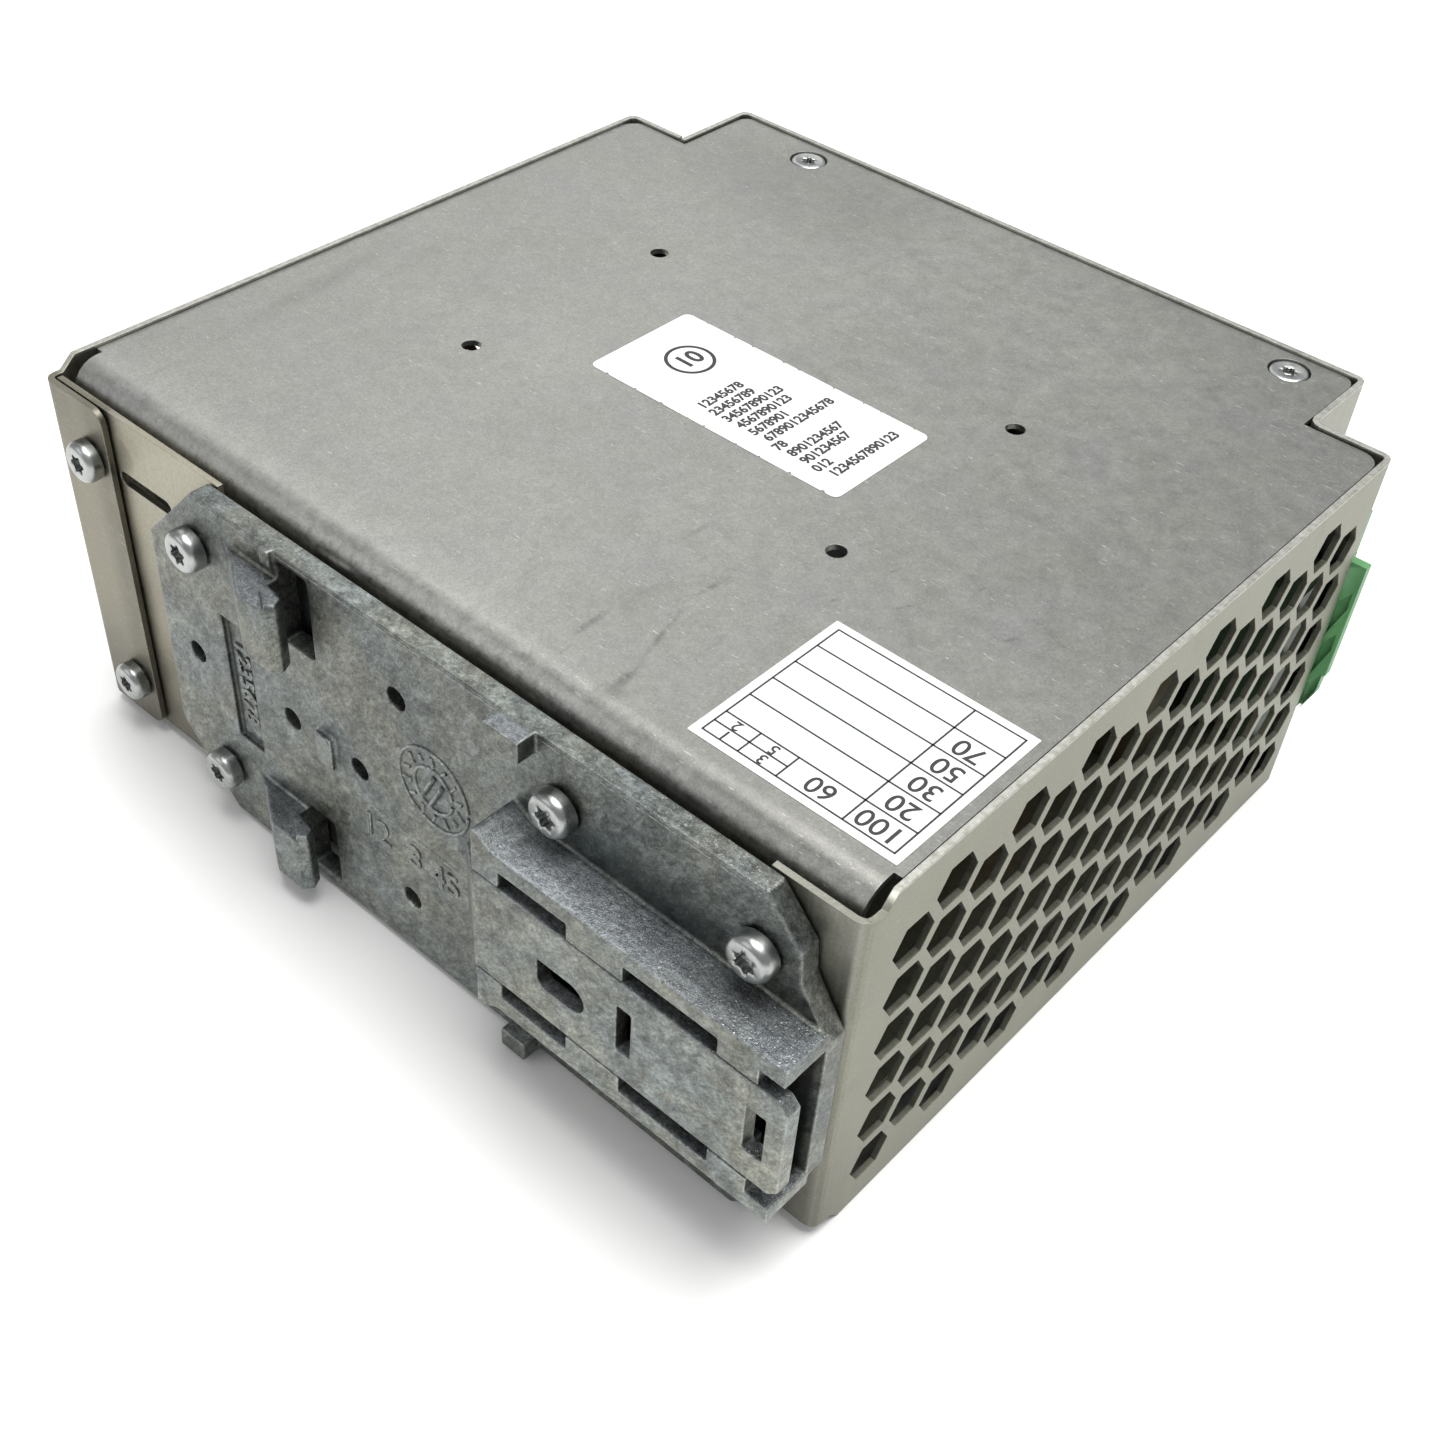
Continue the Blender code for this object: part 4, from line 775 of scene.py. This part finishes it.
for i in range(1, 7):
    pan_screw(f"adapter_screw_{i}", 5.7, 2.25, 1.7, 1.42, random.uniform(0, 1.0))
for i in range(1, 3):
    pan_screw(f"cover_screw_{i}", 5.6, 2.1, 1.7, 1.35, random.uniform(0, 1.0))

casting("rail_adapter", 0.18, 3)
casting("rail_foot", 0.16, 3)

# ---------------------------------------------------------------- labels
PANEL_FACE = 54.6
PAPER = 0.07


def outline_label(x0, x1, y0, y1, radius, nicks=0, seed=1):
    """Rounded rectangle, counter-clockwise, with small nicks along its long edges."""
    rng = random.Random(seed)
    points = []
    for cx, cy, start in ((x1 - radius, y0 + radius, -90), (x1 - radius, y1 - radius, 0), (x0 + radius, y1 - radius, 90), (x0 + radius, y0 + radius, 180)):
        for i in range(7):
            a = math.radians(start + 15 * i)
            points.append((cx + radius * math.cos(a), cy + radius * math.sin(a)))
    if nicks:
        out = []
        for i, point in enumerate(points):
            out.append(point)
            following = points[(i + 1) % len(points)]
            if abs(following[1] - point[1]) < 1e-6 and abs(following[0] - point[0]) > 5:
                sign = 1 if following[0] > point[0] else -1
                inward = 1 if point[1] < (y0 + y1) / 2 else -1
                span = abs(following[0] - point[0])
                for k in range(nicks):
                    along = (k + rng.uniform(0.2, 0.8)) * span / nicks
                    depth = rng.uniform(0.10, 0.32)
                    wide = rng.uniform(0.10, 0.35)
                    for d, h in ((-wide, 0), (-wide * 0.4, depth), (wide * 0.3, depth * 0.8), (wide, 0)):
                        out.append((point[0] + sign * (along + d), point[1] + inward * h))
        points = out
    return points


def sheet_of_paper(name, outline, z0, z1, material):
    bm = bmesh.new()
    bottom = [bm.verts.new(at(x, y, z0)) for x, y in outline]
    top = [bm.verts.new(at(x, y, z1)) for x, y in outline]
    bm.faces.new(top)
    bm.faces.new(bottom[::-1])
    for i in range(len(outline)):
        j = (i + 1) % len(outline)
        bm.faces.new((bottom[i], bottom[j], top[j], top[i]))
    bmesh.ops.recalc_face_normals(bm, faces=bm.faces)
    mesh = bpy.data.meshes.new(name)
    bm.to_mesh(mesh)
    bm.free()
    obj = new_piece(name, mesh, "case", None)
    mesh.materials.append(material)
    return obj


def strokes(name, lines, z0, z1, material):
    """Printed lines: (x0, y0, x1, y1, width) each, as thin raised ink in one mesh."""
    bm = bmesh.new()
    for x0, y0, x1, y1, width in lines:
        along = Vector((x1 - x0, y1 - y0))
        length = along.length
        along /= length
        side = Vector((-along.y, along.x)) * width / 2
        corners = [
            (x0 - side.x, y0 - side.y), (x1 - side.x, y1 - side.y),
            (x1 + side.x, y1 + side.y), (x0 + side.x, y0 + side.y),
        ]
        bottom = [bm.verts.new(at(x, y, z0)) for x, y in corners]
        top = [bm.verts.new(at(x, y, z1)) for x, y in corners]
        bm.faces.new(top)
        bm.faces.new(bottom[::-1])
        for i in range(4):
            j = (i + 1) % 4
            bm.faces.new((bottom[i], bottom[j], top[j], top[i]))
    bmesh.ops.recalc_face_normals(bm, faces=bm.faces)
    mesh = bpy.data.meshes.new(name)
    bm.to_mesh(mesh)
    bm.free()
    obj = new_piece(name, mesh, "case", None)
    mesh.materials.append(material)
    return obj


def digits(name, items, z0, z1, material, weight=0.0, frame_of_text=None):
    """Plain numbers: (text, x, y, height, turn in degrees) each; x, y is the middle of the number."""
    graph_bm = bmesh.new()
    for text, x, y, height, turn in items:
        curve = bpy.data.curves.new(name + "_text", "FONT")
        curve.body = text
        curve.size = height / 0.70 / 1000
        curve.align_x = "CENTER"
        curve.align_y = "CENTER"
        curve.extrude = (z1 - z0) / 2000
        curve.offset = weight / 1000
        curve.resolution_u = 6
        obj = bpy.data.objects.new(name + "_text", curve)
        scene.collection.objects.link(obj)
        obj.matrix_world = Matrix.Translation(at(x, y, (z0 + z1) / 2)) @ Matrix.Rotation(math.radians(turn), 4, "Z")
        if frame_of_text is not None:
            obj.matrix_world = frame_of_text
        bpy.context.view_layer.update()
        graph = bpy.context.evaluated_depsgraph_get()
        mesh = bpy.data.meshes.new_from_object(obj.evaluated_get(graph), depsgraph=graph)
        mesh.transform(obj.matrix_world)
        graph_bm.from_mesh(mesh)
        bpy.data.objects.remove(obj)
        bpy.data.meshes.remove(mesh)
        bpy.data.curves.remove(curve)
    mesh = bpy.data.meshes.new(name)
    graph_bm.to_mesh(mesh)
    graph_bm.free()
    mesh.materials.clear()
    piece = new_piece(name, mesh, "case", None)
    mesh.materials.append(material)
    return piece


white_paper = paper("label_paper", (0.74, 0.745, 0.735, 1))
black_ink = ink("label_ink", (0.012, 0.013, 0.014, 1))
PRINT = PANEL_FACE + PAPER

# The panel's upper label: number column with ruled lines, in place of text.
sheet_of_paper("label_upper", outline_label(46.2, 86.7, 49.0, 67.6, 1.0, 9, 3), PANEL_FACE - 0.02, PRINT, white_paper)
INK = PRINT + 0.02
numbers = []
ends = (60.2, 60.1, 63.2, 62.6, 59.6, 66.2, 53.9, 62.5, 61.4, 55.0, 66.2)
for i, end in enumerate(ends):
    x = 62.6 + i * 2.07
    count = max(2, round((end - 51.4) / 1.12))
    row = "".join(str((i + k) % 10) for k in range(1, count + 1))
    numbers.append((row, x, (51.4 + end) / 2, 1.38, 90))
digits("label_upper_numbers", numbers, PRINT - 0.01, INK, black_ink, 0.075)
ring = [(54.3 + 3.15 * math.cos(math.tau * i / 64), 59.2 + 3.15 * math.sin(math.tau * i / 64)) for i in range(65)]
strokes("label_upper_ring", [(*a, *b, 0.5) for a, b in zip(ring, ring[1:])], PRINT - 0.01, INK, black_ink)
digits("label_upper_ring_number", [("10", 54.3, 59.2, 2.7, 90)], PRINT - 0.01, INK, black_ink, 0.11)

# The label at the vented end: ruled form with plain numbers.
sheet_of_paper("label_form", outline_label(100.9, 127.6, 7.2, 31.5, 0.12), PANEL_FACE - 0.02, PRINT, white_paper)
fx0, fx1, fy0, fy1 = 102.0, 126.5, 8.3, 30.4
pitch = (fy1 - fy0) / 6
line = 0.23
grid = [(fx0 - 0.11, fy0, fx1 + 0.11, fy0, line), (fx0 - 0.11, fy1, fx1 + 0.11, fy1, line), (fx0, fy0, fx0, fy1, line), (fx1, fy0, fx1, fy1, line), (120.1, fy0, 120.1, fy1, line)]
grid += [(fx0, fy0 + pitch * i, fx1, fy0 + pitch * i, line) for i in range(1, 6)]
grid += [(106.7, fy0, 106.7, fy0 + pitch, line), (111.7, fy0, 111.7, fy0 + pitch, line), (fx0, fy0 + pitch / 2, 111.7, fy0 + pitch / 2, line)]
strokes("label_form_rules", grid, PRINT - 0.01, INK, black_ink)
cells = [
    (text, (120.1 + fx1) / 2, fy0 + pitch * (i + 0.5), 2.45, 180)
    for i, text in enumerate(("100", "20", "30", "50", "70"))
]
cells += [("60", 116.0, fy0 + pitch * 0.5, 2.35, 180)]
cells += [
    ("1235"[2 * i + j], 104.3 + 4.9 * i, fy0 + pitch * (0.25 + 0.5 * j), 1.4, 180)
    for i in range(2)
    for j in range(2)
]
digits("label_form_numbers", cells, PRINT - 0.01, INK, black_ink, 0.03)
faded_ink = ink("label_faded_ink", (0.52, 0.60, 0.59, 1))
faint = [("12345", 110.6, 24.9, 3.3, 183), ("67890", 108.8, 17.9, 3.4, 182)]
digits("label_form_faint_numbers", faint, PRINT - 0.012, PRINT + 0.004, faded_ink, 0.0)


# ---------------------------------------------------------------- raised marks on the casting
def raised_lines(name, paths, face, height, width, slot, body):
    """Low ridges with sloped sides along paths of (x, z) points, on a face that looks to -Y."""
    bm = bmesh.new()
    for points, closed in paths:
        count = len(points)
        sections = []
        for i, point in enumerate(points):
            before = points[(i - 1) % count] if closed or i else point
            after = points[(i + 1) % count] if closed or i < count - 1 else point
            along = Vector((after[0] - before[0], after[1] - before[1])).normalized()
            side = Vector((-along.y, along.x))
            section = []
            for across, up in ((0.5, -0.06), (0.28, height * 0.8), (0.1, height), (-0.1, height), (-0.28, height * 0.8), (-0.5, -0.06)):
                section.append(
                    bm.verts.new(at(point[0] + side.x * across * width, face - up, point[1] + side.y * across * width))
                )
            sections.append(section)
        pairs = list(zip(sections, sections[1:])) + ([(sections[-1], sections[0])] if closed else [])
        for a, b in pairs:
            for k in range(5):
                bm.faces.new((a[k], a[k + 1], b[k + 1], b[k]))
            bm.faces.new((a[5], a[0], b[0], b[5]))
        if not closed:
            bm.faces.new(sections[0])
            bm.faces.new(sections[-1][::-1])
    bmesh.ops.recalc_face_normals(bm, faces=bm.faces)
    mesh = bpy.data.meshes.new(name)
    bm.to_mesh(mesh)
    bm.free()
    for polygon in mesh.polygons:
        polygon.use_smooth = True
    mesh.set_sharp_from_angle(angle=math.radians(50))
    return new_piece(name, mesh, body, slot)


def arc(x, z, radius, start, end, steps):
    return [
        (x + radius * math.cos(math.radians(start + (end - start) * i / steps)), z + radius * math.sin(math.radians(start + (end - start) * i / steps)))
        for i in range(steps + 1)
    ]


WHEEL = (72.8, 33.1)
paths = [(arc(*WHEEL, 5.8, 4, 356, 58), False), (arc(*WHEEL, 3.2, 10, 350, 34), False)]
for i in range(14):
    a = math.tau * i / 14 + 0.2
    inner, outer = (3.8, 5.2) if i % 2 else (4.0, 4.9)
    lean = 0.10 * math.sin(i * 2.3)
    paths.append(
        ([(WHEEL[0] + r * math.cos(a + lean * (r - 4.5)), WHEEL[1] + r * math.sin(a + lean * (r - 4.5))) for r in (inner, (inner + outer) / 2, outer)], False)
    )
raised_lines("casting_wheel", paths, -3.0, 0.30, 0.56, "zinc_casting", "case")
bars = []
for shift in (-0.75, 0.75):
    a = math.radians(62)
    across = Vector((-math.sin(a), math.cos(a))) * shift
    bars.append(
        ([(WHEEL[0] + across.x + d * math.cos(a), WHEEL[1] + across.y + d * math.sin(a)) for d in (-2.2, -1.0, 0.2, 1.3, 2.1)], False)
    )
raised_lines("casting_wheel_bars", bars, -3.0, 0.65, 0.80, "zinc_casting", "case")
# Plain cast numerals in the shallow recess; they read downwards.
numerals = Matrix(((0, 1, 0, 0), (0, 0, -1, 0), (-1, 0, 0, 0), (0, 0, 0, 1)))
numerals.translation = at(37.0, -2.35, 26.3)
piece = digits(
    "casting_numerals", [("1235678", 0, 0, 2.7, 0)], 0.0, 0.34, SLOTS["zinc_casting"], 0.07, numerals
)
wear(piece, "zinc_casting")
numerals = Matrix(((1, 0, 0, 0), (0, 0, -1, 0), (0, 1, 0, 0), (0, 0, 0, 1)))
for i, (text, x) in enumerate((("12", 61.6), ("3 45", 71.9))):
    numerals.translation = at(x, -3.06, 18.6)
    piece = digits(f"casting_numerals_{i + 2}", [(text, 0, 0, 3.6, 0)], 0.0, 0.30, SLOTS["zinc_casting"], 0.05, numerals)
    wear(piece, "zinc_casting")
seam = [(61.7 + 24.2 * i / 12, 22.2 - 0.35 * i / 12 + 0.06 * math.sin(i * 1.7)) for i in range(13)]
raised_lines("casting_seam", [(seam, False)], -3.0, 0.10, 0.40, "zinc_casting", "case")
top_seam = [(33.2 + 86.6 * i / 24, 52.62 + 0.05 * math.sin(i * 1.3)) for i in range(25)]
raised_lines("casting_top_seam", [(top_seam, False)], -3.0, 0.06, 0.22, "zinc_casting", "case")


# ---------------------------------------------------------------- flush heads in the side panels
STUD_FIT = 0.20


def flush_head(name, up, turn):
    """Round flush head with a rounded rim and a six-lobed recess, for a panel stud."""
    low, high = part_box(name)
    # The pressed-in head fills its hole in the panel.
    radius = (high.x - low.x) / 2 * 1000 + STUD_FIT
    face = high.z if up > 0 else low.z
    depth = (high.z - low.z) * 1000
    count = 72

    def lobed(angle, size):
        wave = math.cos(6 * angle)
        return 1.12 * size * (0.865 + 0.135 * (wave * (1.25 - 0.25 * wave * wave)))

    rings = [
        (lambda a: radius, -depth),
        (lambda a: radius, -0.62),
        (lambda a: radius * 0.985, -0.40),
        (lambda a: radius * 0.94, -0.21),
        (lambda a: radius * 0.87, -0.07),
        (lambda a: radius * 0.79, -0.01),
        (lambda a: radius * 0.70, -0.02),
        (lambda a: radius * 0.60, -0.10),
        (lambda a: lobed(a, 1.12), -0.13),
        (lambda a: lobed(a, 1.0), -0.20),
        (lambda a: lobed(a, 0.97), -1.0),
        (lambda a: 0.35, -1.25),
    ]
    bm = bmesh.new()
    centre = Vector(((low.x + high.x) / 2, (low.y + high.y) / 2, face))
    loops = []
    for shape, h in rings:
        loop = []
        for i in range(count):
            angle = math.tau * i / count
            r = shape(angle)
            loop.append(bm.verts.new(centre + Vector((r * math.cos(angle + turn), r * math.sin(angle + turn), up * h)) / 1000))
        loops.append(loop)
    for a, b in zip(loops, loops[1:]):
        for i in range(count):
            j = (i + 1) % count
            bm.faces.new((a[i], a[j], b[j], b[i]))
    bm.faces.new(loops[0][::-1])
    bm.faces.new(loops[-1])
    bmesh.ops.recalc_face_normals(bm, faces=bm.faces)
    mesh = bpy.data.meshes.new(name + "_fine")
    bm.to_mesh(mesh)
    bm.free()
    for polygon in mesh.polygons:
        polygon.use_smooth = True
    mesh.set_sharp_from_angle(angle=math.radians(38))
    return new_piece(name + "_fine", mesh, body_of[name], slot_of[name], (name,))


for side, up in (("upper", 1), ("lower", -1)):
    for i in (1, 2):
        flush_head(f"side_panel_{side}_stud_{i}", up, random.uniform(0, 1))
for name in sorted(nodes):
    if not nodes[name].hide_render:
        broken_edges(name, 0.0)

# The side panels sit pushed towards the output end and the front, so that gap is a hairline there.
SEATING = 0.20


def eased(value, start, length):
    t = min(max((value - start) / length, 0.0), 1.0)
    return t * t * (3.0 - 2.0 * t)


for side in ("upper", "lower"):
    for vertex in bpy.data.objects[f"side_panel_{side}_fine"].data.vertices:
        x, y = vertex.co.x * 1000, vertex.co.y * 1000
        left = eased(-x, 62.9, 0.9)
        front = eased(y, 62.4, 0.8)
        if y > 48.5:
            left = max(left, eased(-x, 52.9, 0.9))
        if x < -53.4:
            front = max(front, eased(y, 48.0, 0.9))
        vertex.co.x -= left * SEATING / 1000
        vertex.co.y += front * SEATING / 1000

# ---------------------------------------------------------------- floor, light, camera
bm = bmesh.new()
bmesh.ops.create_grid(bm, x_segments=8, y_segments=8, size=3.0)
mesh = bpy.data.meshes.new("floor")
bm.to_mesh(mesh)
bm.free()
floor = bpy.data.objects.new("floor", mesh)
scene.collection.objects.link(floor)
floor.location.z = cad_box[0][2] - 0.0002
p = Paint("floor")
tone = p.noise(60.0, 3.0, 0.5)
mesh.materials.append(p.finish(p.mix(p.remap(tone, 0.3, 0.7), (0.955, 0.955, 0.95, 1), (0.975, 0.975, 0.97, 1)), 0.85))


def softbox(name, location, target, size_x, size_y, power, colour=(1, 1, 1)):
    data = bpy.data.lights.new(name, "AREA")
    data.shape = "RECTANGLE"
    data.size, data.size_y = size_x, size_y
    data.energy = power
    data.color = colour
    obj = bpy.data.objects.new(name, data)
    scene.collection.objects.link(obj)
    obj.location = location
    obj.rotation_mode = "QUATERNION"
    obj.rotation_quaternion = (Vector(target) - Vector(location)).to_track_quat("-Z", "Y")
    return obj


softbox("overhead", (0.16, 0.14, 1.2), (0, 0, 0.03), 0.9, 0.9, 15.0, (1.0, 0.995, 0.985))
softbox("back_left", (-0.75, 0.55, 0.7), (0, 0, 0.03), 0.8, 0.8, 1.6)
softbox("back", (-0.1, 1.0, 0.7), (0, 0, 0.03), 0.8, 0.8, 0.5)
softbox("front_left", (-0.45, -0.9, 0.75), (0, 0, 0.03), 0.8, 0.8, 1.6)

world = bpy.data.worlds.new("studio")
scene.world = world
world.use_nodes = True
background = world.node_tree.nodes["Background"]
background.inputs["Color"].default_value = (0.985, 0.992, 1.0, 1)
background.inputs["Strength"].default_value = 0.34

camera_data = bpy.data.cameras.new("camera")
camera = bpy.data.objects.new("camera", camera_data)
scene.collection.objects.link(camera)
ROWS = (
    (0.73971721, 0.67115133, 0.04872725),
    (0.4921517, -0.49020292, -0.71936625),
    (-0.45891737, 0.55610879, -0.69291981),
)
SHIFT = (-82.06020686, -10.0024975, 261.7126846)
FOCAL, PIXEL_X, PIXEL_Y, IMAGE = 1798.22492, 686.24801, 759.95737, 1445.0
eye = [-sum(ROWS[r][c] * SHIFT[r] for r in range(3)) for c in range(3)]
camera.rotation_mode = "QUATERNION"
camera.location = at(*eye)
camera.rotation_quaternion = Matrix(
    [[ROWS[0][i], -ROWS[1][i], -ROWS[2][i]] for i in range(3)]
).to_quaternion()
camera_data.sensor_fit = "HORIZONTAL"
camera_data.sensor_width = 36.0
camera_data.lens = 36.0 * FOCAL / IMAGE
camera_data.shift_x = (IMAGE / 2 - PIXEL_X) / IMAGE
camera_data.shift_y = (PIXEL_Y - IMAGE / 2) / IMAGE
camera_data.clip_start = 0.01
camera_data.clip_end = 20.0
scene.camera = camera

scene.view_settings.view_transform = "Standard"
scene.view_settings.look = "None"
scene.view_settings.exposure = 0.345
scene.view_settings.gamma = 1.0
